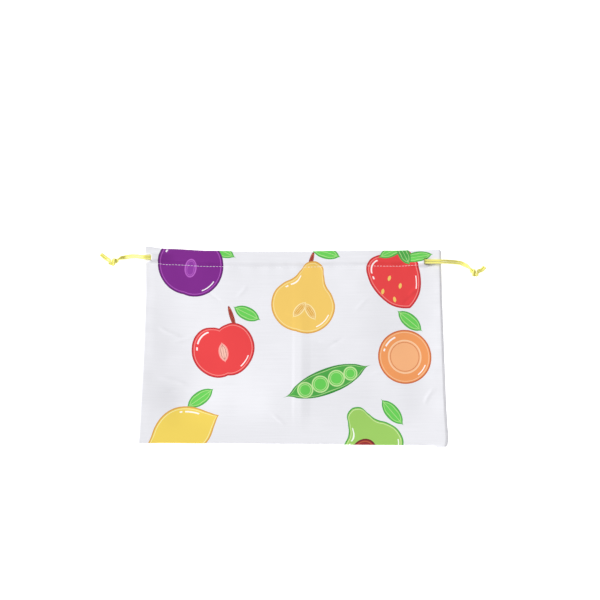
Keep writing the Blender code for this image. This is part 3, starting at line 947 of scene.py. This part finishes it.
# %% [markdown]
# The print was made on flat cloth, so each point needs its place on the flat: how far across, and
# how far along from the bottom fold, both in mm. The lengths are measured on the finished grid,
# along its middle and its ends.

# %% Places on the flat cloth
middle_column = seam_count + len(across) // 2
steps = np.linalg.norm(np.diff(cloth[:, middle_column], axis=0), axis=1)
along_cloth = np.concatenate([[0], np.cumsum(steps)])
fold_row = int(np.argmin(np.where(sections == "bottom_fold", cloth[:, middle_column, 1], 9)))
along_cloth = (along_cloth[fold_row] - along_cloth) * 1000
flat_x = np.concatenate([np.zeros(seam_count), (across - 0.5) * inner_width, np.zeros(seam_count)]) * 1000
measured_row = 70
middle_row = int(np.nonzero(sections == "front_panel")[0][measured_row])
for direction, edge_column in ((-1, seam_count), (1, seam_count + len(across) - 1)):
    for k in range(1, seam_count + 1):
        here = edge_column + direction * k
        step = np.linalg.norm(cloth[middle_row, here] - cloth[middle_row, here - direction]) * 1000
        flat_x[here] = flat_x[here - direction] + direction * step
flat_places = np.stack(np.broadcast_arrays(flat_x[None], along_cloth[:, None]), axis=2)
print("flat cloth, mm:", round(float(np.ptp(flat_x)), 1), "by", round(float(np.ptp(along_cloth)), 1))

# %% [markdown]
# A piece of cloth gets a printed outside, a plain inside, and a rim where it ends. Its directions
# come from the whole grid, so that light runs smoothly over the line where two pieces meet.

# %% Cut a piece from the grid and give it thickness
across_way = np.gradient(cloth, axis=1)
along_way = np.gradient(cloth, axis=0)
outward = np.cross(along_way, across_way)
outward /= np.maximum(np.linalg.norm(outward, axis=2, keepdims=True), 1e-12)
panel_up = outward[middle_row, middle_column, 2]
print("the front panel's outward direction:", round(float(panel_up), 2))
if panel_up < 0:
    outward = -outward


def cloth_piece(name, first_row, last_row, first_column, last_column, cuts=()):
    """A closed piece of cloth between two rows and two columns of the grid, both included."""
    height = last_row - first_row + 1
    width = last_column - first_column + 1
    block = (slice(first_row, last_row + 1), slice(first_column, last_column + 1))
    points = cloth[block].reshape(-1, 3)
    ways = outward[block].reshape(-1, 3)
    places = flat_places[block].reshape(-1, 2)
    number = np.arange(height * width).reshape(height, width)
    corner = np.stack([number[:-1, :-1], number[1:, :-1], number[1:, 1:], number[:-1, 1:]], axis=2)
    for cut_rows, column, other_points, towards in cuts:
        c = column + seam_count - first_column
        r = cut_rows - first_row
        fresh = np.arange(len(r)) + len(points)
        points = np.vstack([points, other_points])
        ways = np.vstack([ways, ways[number[r, c]]])
        places = np.vstack([places, places[number[r, c]]])
        swap = dict(zip(number[r, c].tolist(), fresh.tolist()))
        strip = c if towards > 0 else c - 1
        for i in range(max(r[0] - 1, 0), r[-1] + 1):
            corner[i, strip] = [swap.get(k, k) for k in corner[i, strip].tolist()]
    quads = corner.reshape(-1, 4)
    if panel_up < 0:
        quads = quads[:, ::-1]
    count = len(points)
    edges = np.stack([quads, np.roll(quads, -1, axis=1)], axis=2).reshape(-1, 2)
    key = np.sort(edges, axis=1)
    _, back_to, times = np.unique(key, axis=0, return_inverse=True, return_counts=True)
    rim = edges[times[back_to.ravel()] == 1]
    rim_quads = np.stack([rim[:, 1], rim[:, 0], rim[:, 0] + count, rim[:, 1] + count], axis=1)
    faces = np.vstack([quads, quads[:, ::-1] + count, rim_quads])
    mesh = bpy.data.meshes.new(name)
    mesh.from_pydata(np.vstack([points, points - ways * cloth_thickness]).tolist(), [], faces.tolist())
    mesh.shade_smooth()
    inside = np.ones(len(faces), dtype=np.int32)
    inside[: len(quads)] = 0
    mesh.polygons.foreach_set("material_index", inside)
    place = mesh.attributes.new("flat_place", "FLOAT_VECTOR", "POINT")
    flat = np.zeros((2 * count, 3), dtype=np.float32)
    flat[:, :2] = np.vstack([places, places])
    place.data.foreach_set("vector", flat.ravel())
    mesh.normals_split_custom_set_from_vertices(np.vstack([ways, -ways]).tolist())
    made = bpy.data.objects.new(name, mesh)
    bpy.context.scene.collection.objects.link(made)
    return made


def rows_of(*names):
    found = np.nonzero(np.isin(sections, names))[0]
    return int(found[0]), int(found[-1])


first_main = seam_count
last_main = seam_count + len(across) - 1
cuts = [(cut_rows, column, lip, -inward[side]) for side, (cut_rows, column, lip) in slit_cuts.items()]
stitch_row = rows_of("front_stitches")[0]
panel_end = rows_of("front_panel")[1]
fold_end = rows_of("bottom_fold")[1]
back_end = rows_of("back_panel")[1]
last_row = len(rows) - 1
cloth_pieces = {
    "front_channel": cloth_piece("front_channel_cloth", 0, stitch_row, first_main, last_main, cuts),
    "front_panel": cloth_piece("front_panel_cloth", stitch_row, panel_end, first_main, last_main),
    "bottom_fold": cloth_piece("bottom_fold_cloth", panel_end, fold_end, first_main, last_main),
    "back_panel": cloth_piece("back_panel_cloth", fold_end, back_end, first_main, last_main),
    "back_channel": cloth_piece("back_channel_cloth", back_end, last_row, first_main, last_main),
    "left_side_seam": cloth_piece("left_side_seam_cloth", 0, last_row, 0, first_main),
    "right_side_seam": cloth_piece("right_side_seam_cloth", 0, last_row, last_main, cloth.shape[1] - 1),
}
for name, piece in cloth_pieces.items():
    print(name, len(piece.data.polygons), "faces")

# %% [markdown]
# ## The stitches
#
# One row of white lockstitch closes the hem, 17 mm under the mouth. Over the print it shows as a
# line of dashes, about eight to the inch. Each stitch is a short thread that dives into the cloth
# at both its ends.

# %% Rows of hem stitches
stitch_pitch = 0.0032
stitch_length = 0.0023
thread_radius = 0.0002
thread_sides = 6
stitch_sink = 0.00022
stitch_raise = 0.00016
stitch_taper = 0.35
under_cloth = (0, 0, 0.00012)


def stitch_row_mesh(name, line, side):
    """Short bent threads along a line of points. The side is 1 for the top and -1 for the underside."""
    run = run_along(line)
    count = int(run[-1] / stitch_pitch)
    share = np.linspace(-1, 1, 6)
    centre = (np.arange(count) + 0.5) * run[-1] / count
    at = centre[:, None] + share[None] * stitch_length / 2
    path = np.stack([np.interp(at, run, line[:, axis]) for axis in range(3)], axis=2)
    path[..., 2] += side * (stitch_raise - stitch_sink * share[None] ** 4)
    radius = thread_radius * (1 - stitch_taper * share**4)
    angle = np.arange(thread_sides) * 2 * math.pi / thread_sides
    points = np.repeat(path[:, :, None], thread_sides, axis=2)
    points[..., 1] += radius[None, :, None] * np.cos(angle)[None, None]
    points[..., 2] += radius[None, :, None] * np.sin(angle)[None, None]
    number = np.arange(points[..., 0].size).reshape(points.shape[:3])
    a, b = number[:, :-1], number[:, 1:]
    band = np.stack([a, np.roll(a, -1, axis=2), np.roll(b, -1, axis=2), b], axis=3).reshape(-1, 4)
    caps = [list(ring) for ring in number[:, 0]] + [list(ring[::-1]) for ring in number[:, -1]]
    return make_mesh(name, points.reshape(-1, 3), band.tolist() + caps)


front_line = cloth[stitch_row, first_main + 1 : last_main]
back_line = cloth[back_end, first_main + 1 : last_main]
stitch_pieces = {
    "front_channel": stitch_row_mesh("front_hem_stitches", front_line, 1),
    "back_channel": stitch_row_mesh("back_hem_stitches", back_line + np.array(under_cloth), -1),
}
print("stitches:", [len(piece.data.polygons) for piece in stitch_pieces.values()], "faces")

# %% [markdown]
# ## The print
#
# The cloth carries a bright heat-transfer print of garden produce, each drawing 60 to 90 mm long, in
# flat colours with a darker edge, a thin light line inside the edge and a few white gleams. The
# drawings here are plain shapes of this bag's own, in a layout of its own.
#
# A drawing is one outline, read as a radius from the angle round its middle. All sizes are mm on
# flat cloth.

# %% Colours and nodes
def linear(hex_colour):
    """An sRGB colour such as E8E070 as the linear values that the renderer works with."""
    found = []
    for k in (0, 2, 4):
        value = int(hex_colour[k : k + 2], 16) / 255
        found.append(value / 12.92 if value <= 0.04045 else ((value + 0.055) / 1.055) ** 2.4)
    return (*found, 1.0)


def add_node(tree, kind, inputs=None, **settings):
    """A node with its settings, and with its inputs set to values or linked to other nodes' outputs."""
    made = tree.nodes.new(kind)
    for name, value in settings.items():
        setattr(made, name, value)
    for name, value in (inputs or {}).items():
        if isinstance(value, bpy.types.NodeSocket):
            tree.links.new(value, made.inputs[name])
        else:
            made.inputs[name].default_value = value
    return made


# %% Outlines of the drawings
# Each is (share of the way round from the top to the bottom, radius as a share of the drawing's
# half size).
outlines = {
    "round": ((0, 1), (0.5, 1), (1, 1)),
    "plum": ((0, 0.92), (0.10, 0.99), (0.5, 0.98), (0.9, 0.99), (1, 0.96)),
    "apple": ((0, 0.76), (0.07, 0.86), (0.2, 1), (0.45, 0.97), (0.7, 0.90), (0.9, 0.86), (1, 0.80)),
    "pear": (
        (0, 0.98), (0.06, 0.93), (0.14, 0.72), (0.25, 0.60), (0.38, 0.66), (0.55, 0.80), (0.8, 0.9),
        (1, 0.87),
    ),
    "lemon": ((0, 1), (0.05, 0.87), (0.15, 0.76), (0.5, 0.70), (0.85, 0.76), (0.95, 0.87), (1, 1)),
    "berry": ((0, 0.66), (0.10, 0.78), (0.24, 0.88), (0.42, 0.80), (0.62, 0.76), (0.84, 0.86), (1, 0.98)),
    "leaf": ((0, 1), (0.06, 0.84), (0.2, 0.84), (0.5, 0.98), (0.8, 0.84), (0.94, 0.84), (1, 1)),
}


edge_width = 1.3
line_middle, line_half_width, line_strength = 2.55, 0.35, 0.8
gleam_middle, gleam_half_width = 5.4, 0.8
low_gleam_middle, low_gleam_half_width = 4.95, 0.55

# Each row is a name, an operation and what goes in. COMPARE gives 1 where the first value is within
# the third of the second. "inside" is how far inside the drawing's outline a place is, in mm.
drawing_sums = (
    ("short", "SUBTRACT", "outline", "radius"),
    ("safe radius", "MAXIMUM", "radius", 0.001),
    ("mm", "DIVIDE", "reach", "safe radius"),
    ("inside", "MULTIPLY", "short", "mm"),
    ("drawn", "GREATER_THAN", "inside", 0.0),
    ("filled", "GREATER_THAN", "inside", edge_width),
    ("on line", "COMPARE", "inside", line_middle, line_half_width),
    ("lined", "MULTIPLY", "on line", line_strength),
    ("rib across", "COMPARE", "x", 0.0, 0.035),
    ("rib along", "COMPARE", "y", 0.05, 0.75),
    ("on rib", "MULTIPLY", "rib across", "rib along"),
    ("ribbed", "MULTIPLY", "on rib", "Rib"),
    ("left", "LESS_THAN", "x", 0.0),
    ("right", "GREATER_THAN", "x", 0.0),
    ("gleam depth", "COMPARE", "inside", gleam_middle, gleam_half_width),
    ("low depth", "COMPARE", "inside", low_gleam_middle, low_gleam_half_width),
    ("upper arc", "COMPARE", "angle", 0.24, 0.10),
    ("dot arc", "COMPARE", "angle", 0.40, 0.02),
    ("low arc", "COMPARE", "angle", 0.71, 0.09),
    ("left arcs", "MAXIMUM", "upper arc", "dot arc"),
    ("left gleams", "MULTIPLY", "left arcs", "gleam depth"),
    ("upper gleams", "MULTIPLY", "left gleams", "left"),
    ("low band", "MULTIPLY", "low arc", "low depth"),
    ("low gleam", "MULTIPLY", "low band", "right"),
    ("gleams", "MAXIMUM", "upper gleams", "low gleam"),
    ("gleaming", "MULTIPLY", "gleams", "Gleam"),
)


def motif_group(outline):
    """A group that paints one drawing over the colour that comes in."""
    tree = bpy.data.node_groups.new(f"print_{outline}", "ShaderNodeTree")
    for name, kind in (
        ("Colour", "Color"), ("Place", "Vector"), ("Middle", "Vector"), ("Turn", "Float"),
        ("Half size", "Vector"), ("Fill", "Color"), ("Edge", "Color"), ("Line", "Color"), ("Gleam", "Float"),
        ("Rib", "Float"),
    ):
        tree.interface.new_socket(name, in_out="INPUT", socket_type="NodeSocket" + kind)
    tree.interface.new_socket("Colour", in_out="OUTPUT", socket_type="NodeSocketColor")
    given = add_node(tree, "NodeGroupInput").outputs
    vector, maths = "ShaderNodeVectorMath", "ShaderNodeMath"
    off = add_node(tree, vector, {0: given["Place"], 1: given["Middle"]}, operation="SUBTRACT").outputs[0]
    turned = add_node(
        tree, "ShaderNodeVectorRotate", {"Vector": off, "Angle": given["Turn"]}, rotation_type="Z_AXIS"
    ).outputs[0]
    unit = add_node(tree, vector, {0: turned, 1: given["Half size"]}, operation="DIVIDE").outputs[0]
    flat = add_node(tree, "ShaderNodeSeparateXYZ", {0: unit}).outputs
    side = add_node(tree, maths, {0: flat[0]}, operation="ABSOLUTE").outputs[0]
    round_way = add_node(tree, maths, {0: side, 1: flat[1]}, operation="ARCTAN2").outputs[0]
    angle = add_node(tree, maths, {0: round_way, 1: math.pi}, operation="DIVIDE").outputs[0]
    curve = add_node(tree, "ShaderNodeFloatCurve", {"Value": angle})
    mapping = curve.mapping.curves[0]
    rows = outlines[outline]
    mapping.points[0].location = rows[0]
    mapping.points[1].location = rows[-1]
    for row in rows[1:-1]:
        mapping.points.new(*row)
    curve.mapping.update()

    found = {
        "x": flat[0], "y": flat[1], "angle": angle, "outline": curve.outputs[0],
        "radius": add_node(tree, vector, {0: unit}, operation="LENGTH").outputs["Value"],
        "reach": add_node(tree, vector, {0: turned}, operation="LENGTH").outputs["Value"],
        "Gleam": given["Gleam"], "Rib": given["Rib"],
    }
    for name, operation, *values in drawing_sums:
        inputs = {k: found.get(value, value) for k, value in enumerate(values)}
        found[name] = add_node(tree, maths, inputs, operation=operation).outputs[0]
    colour = given["Colour"]
    for share, over in (
        ("drawn", given["Edge"]), ("filled", given["Fill"]), ("lined", given["Line"]),
        ("ribbed", given["Line"]), ("gleaming", linear("FFFFFF")),
    ):
        layer = {0: found[share], 6: colour, 7: over}
        colour = add_node(tree, "ShaderNodeMix", layer, data_type="RGBA").outputs[2]
    add_node(tree, "NodeGroupOutput", {0: colour})
    return tree


motif_groups = {name: motif_group(name) for name in outlines}

# %% [markdown]
# The drawings themselves: what outline, where its middle is (across, and along from the bottom
# fold), how far it is turned, its half width and half height, and its colours. The front's side of
# the cloth has positive places along, and the back's has negative ones. Some drawings are cut by
# the mouth fold or by the bottom fold, as happens when cloth is printed by the length.

# %% The drawings on the cloth
green, fresh, pale, red, dark_red = "4AA546", "66CC55", "BFE29A", "E53F42", "B92A30"
purple, dark_purple, yellow, orange, brown = "7A1B87", "5C1269", "EFC765", "EE9A5C", "962E2E"

# outline, across, along, turn in degrees, half width, half height, fill, edge, line, gleam, rib
plum_top = (
    ("leaf", -76, 200, -62, 8, 21, fresh, green, pale, 0, 1),
    ("plum", -104, 181, 14, 34, 33, purple, dark_purple, "B45CC0", 1, 0),
    ("round", -104, 178, 10, 6, 10, "8E34A0", "B45CC0", "B45CC0", 0, 0),
)
pear_top = (
    ("leaf", 33, 196, -70, 7, 17, fresh, green, pale, 0, 1),
    ("round", 18, 186, 16, 2.2, 11, brown, brown, orange, 0, 0),
    ("pear", 12, 148, 16, 41, 41, yellow, "D9A04A", "F8E2A6", 1, 0),
    ("leaf", 6, 136, 40, 4.5, 11, "E0AC4E", "F8E2A6", "F8E2A6", 0, 1),
    ("leaf", 17, 134, -30, 4.5, 11, "E0AC4E", "F8E2A6", "F8E2A6", 0, 1),
)
berry_top = (
    ("berry", 104, 170, -24, 34, 37, red, dark_red, "F59A94", 1, 0),
    ("leaf", 101, 197, 62, 6, 17, fresh, green, pale, 0, 1),
    ("leaf", 127, 190, -100, 6, 17, fresh, green, pale, 0, 1),
    ("leaf", 113, 194, -24, 6, 15, green, green, pale, 0, 1),
    ("leaf", 98, 168, 20, 1.6, 3.4, yellow, yellow, yellow, 0, 0),
    ("leaf", 109, 160, 10, 1.6, 3.4, yellow, yellow, yellow, 0, 0),
    ("leaf", 91, 154, 10, 1.6, 3.4, yellow, yellow, yellow, 0, 0),
    ("leaf", 103, 146, -10, 1.6, 3.4, yellow, yellow, yellow, 0, 0),
)
apple_left = (
    ("round", -62, 128, -18, 2.2, 12, brown, brown, orange, 0, 0),
    ("leaf", -47, 132, -64, 7, 16, fresh, green, pale, 0, 1),
    ("apple", -70, 93, -12, 33, 31, red, dark_red, "F59A94", 1, 0),
    ("leaf", -70, 92, -12, 5, 11, "F2BFAE", "F59A94", brown, 0, 1),
)
pod_middle = (
    ("leaf", 34, 63, 69, 13, 47, green, "2F8436", pale, 0, 0),
    ("round", 12, 54, 0, 8, 8, fresh, pale, pale, 0, 0),
    ("round", 27, 60, 0, 8.6, 8.6, fresh, pale, pale, 0, 0),
    ("round", 43, 66, 0, 8.4, 8.4, fresh, pale, pale, 0, 0),
    ("round", 57, 71, 0, 7, 7, fresh, pale, pale, 0, 0),
)
orange_right = (
    ("leaf", 118, 124, -50, 7, 17, fresh, green, pale, 0, 1),
    ("round", 112, 88, 0, 27, 27, orange, "C9683C", "F8C9A0", 1, 0),
    ("round", 112, 88, 0, 17, 17, "F4B27E", "F8C9A0", "C9683C", 0, 0),
)
lemon_low = (
    ("leaf", -92, 46, 54, 7, 17, fresh, green, pale, 0, 1),
    ("lemon", -108, 12, 64, 36, 39, "F0D35C", "D9A04A", "FBF0B4", 1, 0),
)
avocado_low = (
    ("leaf", 98, 33, -40, 7, 17, fresh, green, pale, 0, 1),
    ("pear", 76, 4, -28, 38, 38, "9BCB62", green, "D8F0B0", 1, 0),
    ("round", 71, -5, 0, 12, 12, brown, "6E1F22", "C9683C", 0, 0),
)
back_drawings = (
    ("apple", 8, -58, 20, 31, 29, red, dark_red, "F59A94", 1, 0),
    ("leaf", 28, -92, 110, 7, 16, fresh, green, pale, 0, 1),
    ("leaf", -82, -92, 65, 13, 47, green, "2F8436", pale, 0, 0),
    ("round", -98, -99, 0, 8, 8, fresh, pale, pale, 0, 0),
    ("round", -82, -91, 0, 8.6, 8.6, fresh, pale, pale, 0, 0),
    ("round", -66, -84, 0, 8, 8, fresh, pale, pale, 0, 0),
    ("plum", 92, -108, 170, 32, 31, purple, dark_purple, "B45CC0", 1, 0),
    ("lemon", -14, -140, 110, 34, 38, "F0D35C", "D9A04A", "FBF0B4", 1, 0),
)
back_top = (
    ("berry", -102, -172, 160, 32, 35, red, dark_red, "F59A94", 1, 0),
    ("round", 84, -186, 0, 27, 27, orange, "C9683C", "F8C9A0", 1, 0),
    ("round", 84, -186, 0, 17, 17, "F4B27E", "F8C9A0", "C9683C", 0, 0),
)

# %% [markdown]
# The cloth is a light plain-woven polyester. Its threads are only 0.2 mm apart, too fine to show,
# so the weave is drawn at 0.6 mm as a faint relief. Some threads are thicker than others for a few
# centimetres, which shows as soft streaks across the bag. The weave scatters light widely, with a
# soft grazing sheen.

# %% The cloth's material
cloth_white = "E9E9EE"
weave_pitch = 0.6
streak_length = 45
streak_width = 1.1


def cloth_material(name, drawings):
    made = bpy.data.materials.new(name)
    made.use_nodes = True
    tree = made.node_tree
    shader = tree.nodes["Principled BSDF"]
    place = add_node(tree, "ShaderNodeAttribute", attribute_name="flat_place").outputs["Vector"]
    per_streak = (1 / streak_length, 1 / streak_width, 1)
    streaked = add_node(
        tree, "ShaderNodeVectorMath", {0: place, 1: per_streak}, operation="MULTIPLY"
    ).outputs[0]
    streaks = add_node(tree, "ShaderNodeTexNoise", {"Vector": streaked, "Scale": 1.0, "Detail": 2.0})
    tone = add_node(
        tree, "ShaderNodeMapRange",
        {"Value": streaks.outputs[0], "From Min": 0.3, "From Max": 0.7, "To Min": 0.965, "To Max": 1.0},
    ).outputs[0]
    colour = add_node(
        tree, "ShaderNodeMix", {0: 1.0, 6: linear(cloth_white), 7: tone},
        data_type="RGBA", blend_type="MULTIPLY",
    ).outputs[2]
    for outline, x, y, turn, half_width, half_height, fill, edge, line, gleam, rib in drawings:
        colour = add_node(
            tree, "ShaderNodeGroup",
            {
                "Colour": colour, "Place": place, "Middle": (x, y, 0), "Turn": math.radians(turn),
                "Half size": (half_width, half_height, 1), "Fill": linear(fill), "Edge": linear(edge),
                "Line": linear(line), "Gleam": gleam * 0.85, "Rib": rib * 0.9,
            },
            node_tree=motif_groups[outline],
        ).outputs[0]
    weave = add_node(
        tree, "ShaderNodeTexNoise", {"Vector": place, "Scale": 1 / weave_pitch, "Detail": 1.0}
    )
    both = add_node(tree, "ShaderNodeMath", {0: weave.outputs[0], 1: streaks.outputs[0]}, operation="ADD")
    bump = add_node(
        tree, "ShaderNodeBump", {"Height": both.outputs[0], "Strength": 0.12, "Distance": 0.0003}
    )
    tree.links.new(colour, shader.inputs["Base Color"])
    tree.links.new(bump.outputs[0], shader.inputs["Normal"])
    shader.inputs["Roughness"].default_value = 0.72
    shader.inputs["Specular IOR Level"].default_value = 0.25
    shader.inputs["Sheen Weight"].default_value = 0.12
    return made


front_drawings = (
    *plum_top, *pear_top, *berry_top, *apple_left, *pod_middle, *orange_right, *lemon_low, *avocado_low,
)
cloth_outsides = {
    "front_panel": cloth_material("printed_polyester_front", front_drawings),
    "front_channel": cloth_material("printed_polyester_mouth", (*plum_top, *pear_top, *berry_top)),
    "bottom_fold": cloth_material("printed_polyester_fold", (*lemon_low, *avocado_low)),
    "back_panel": cloth_material(
        "printed_polyester_back", (*back_drawings, *back_top, *lemon_low, *avocado_low)
    ),
    "back_channel": cloth_material("printed_polyester_back_mouth", back_top),
    "side_seam": cloth_material(
        "printed_polyester_sides", (*plum_top[1:2], *orange_right[:1], *lemon_low[1:])
    ),
}
cloth_inside = cloth_material("plain_polyester_inside", ())
for name, piece in cloth_pieces.items():
    outside = cloth_outsides["side_seam" if name.endswith("side_seam") else name]
    piece.data.materials.append(outside)
    piece.data.materials.append(cloth_inside)

# %% [markdown]
# The cords are satin braid: bright yellow polyester threads that run round a soft core on a slant.
# Their colour carries painted light. Each thread's top keeps the pale yellow as a painted highlight,
# and the grooves between the threads are painted a little darker and more orange as painted shade.

# %% Cord and thread
cord_yellow = "F8F48C"
cord_groove_painted_shade = "EDE268"
# Painted shade: this darker, more orange yellow is painted into the grooves between the threads.
threads_round = 5
thread_slant = 1.9


def cord_material():
    made = bpy.data.materials.new("yellow_satin_cord")
    made.use_nodes = True
    tree = made.node_tree
    shader = tree.nodes["Principled BSDF"]
    place = add_node(tree, "ShaderNodeAttribute", attribute_name="thread_place").outputs["Vector"]
    parts = add_node(tree, "ShaderNodeSeparateXYZ", {0: place}).outputs
    angle = add_node(tree, "ShaderNodeMath", {0: parts[2], 1: parts[1]}, operation="ARCTAN2").outputs[0]
    turn = add_node(
        tree, "ShaderNodeMath", {0: angle, 1: float(threads_round)}, operation="MULTIPLY"
    ).outputs[0]
    slant = add_node(
        tree, "ShaderNodeMath", {0: parts[0], 1: thread_slant * 2, 2: turn}, operation="MULTIPLY_ADD"
    ).outputs[0]
    wave = add_node(tree, "ShaderNodeMath", {0: slant}, operation="SINE").outputs[0]
    height = add_node(
        tree, "ShaderNodeMapRange", {"Value": wave, "From Min": -1.0, "From Max": 0.4}
    ).outputs[0]
    # Painted light: the colour runs from the painted shade of the grooves to the pale painted highlight on
    # the thread tops.
    colour = add_node(
        tree, "ShaderNodeMix", {0: height, 6: linear(cord_groove_painted_shade), 7: linear(cord_yellow)}, data_type="RGBA"
    ).outputs[2]
    bump = add_node(
        tree, "ShaderNodeBump", {"Height": height, "Strength": 0.35, "Distance": 0.0002}
    )
    tree.links.new(colour, shader.inputs["Base Color"])
    tree.links.new(bump.outputs[0], shader.inputs["Normal"])
    shader.inputs["Roughness"].default_value = 0.42
    shader.inputs["Specular IOR Level"].default_value = 0.45
    shader.inputs["Sheen Weight"].default_value = 0.2
    return made


satin = cord_material()
for piece in cord_pieces.values():
    piece.data.materials.append(satin)

thread = bpy.data.materials.new("white_sewing_thread")
thread.use_nodes = True
thread_shader = thread.node_tree.nodes["Principled BSDF"]
thread_shader.inputs["Base Color"].default_value = linear("F4F4F6")
thread_shader.inputs["Roughness"].default_value = 0.55
for piece in stitch_pieces.values():
    piece.data.materials.append(thread)

# %% [markdown]
# ## Floor and light
#
# The bag lies on a white table under the even light of the room and one large, far softbox. The
# softbox stands on the left, so that each fold of the cloth shades faintly on its right. A weak
# lamp on the right fills in.

# %% Floor and light
sky_strength = 0.45
lamp_way = (-0.90, 0.0, 0.42)
lamp_softness = math.radians(24)
lamp_strength = 3.95
fill_place = (0.45, 0.05, 0.45)
fill_size = 0.4
fill_power = 0.45

floor_mesh = bpy.data.meshes.new("floor")
floor_mesh.from_pydata([(-9, -9, 0), (9, -9, 0), (9, 9, 0), (-9, 9, 0)], [], [(0, 1, 2, 3)])
floor = bpy.data.objects.new("floor", floor_mesh)
floor.location = (0, 0, -0.0006)
bpy.context.scene.collection.objects.link(floor)
paper = bpy.data.materials.new("white_paper")
paper.use_nodes = True
paper_shader = paper.node_tree.nodes["Principled BSDF"]
paper_shader.inputs["Base Color"].default_value = (1, 1, 1, 1)
paper_shader.inputs["Roughness"].default_value = 0.9
paper_shader.inputs["Emission Color"].default_value = (1, 1, 1, 1)
paper_shader.inputs["Emission Strength"].default_value = 0.7
floor_mesh.materials.append(paper)

sky = bpy.data.worlds.new("studio")
bpy.context.scene.world = sky
sky.use_nodes = True
background = sky.node_tree.nodes["Background"]
background.inputs["Color"].default_value = (1, 1, 1, 1)
background.inputs["Strength"].default_value = sky_strength

lamp = bpy.data.lights.new("softbox", "SUN")
lamp.angle = lamp_softness
lamp.energy = lamp_strength
softbox = bpy.data.objects.new("softbox", lamp)
softbox.rotation_mode = "QUATERNION"
softbox.rotation_quaternion = (-Vector(lamp_way)).to_track_quat("-Z", "Y")
bpy.context.scene.collection.objects.link(softbox)

fill_lamp = bpy.data.lights.new("fill", "AREA")
fill_lamp.size = fill_size
fill_lamp.energy = fill_power
fill = bpy.data.objects.new("fill", fill_lamp)
fill.location = fill_place
fill.rotation_mode = "QUATERNION"
fill.rotation_quaternion = (-Vector(fill_place)).to_track_quat("-Z", "Y")
fill.visible_camera = False
bpy.context.scene.collection.objects.link(fill)
bpy.context.scene.view_settings.view_transform = "Standard"

for name, piece in cloth_pieces.items():
    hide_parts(name)
    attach(piece, "root")
for name, piece in cord_pieces.items():
    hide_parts(name)
    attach(piece, "root")
for piece in stitch_pieces.values():
    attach(piece, "root")

for side in SIDES:
    for name, (free, rest) in strands[side].items():
        piece = cord_pieces[f"{side}_strand_{name}"]
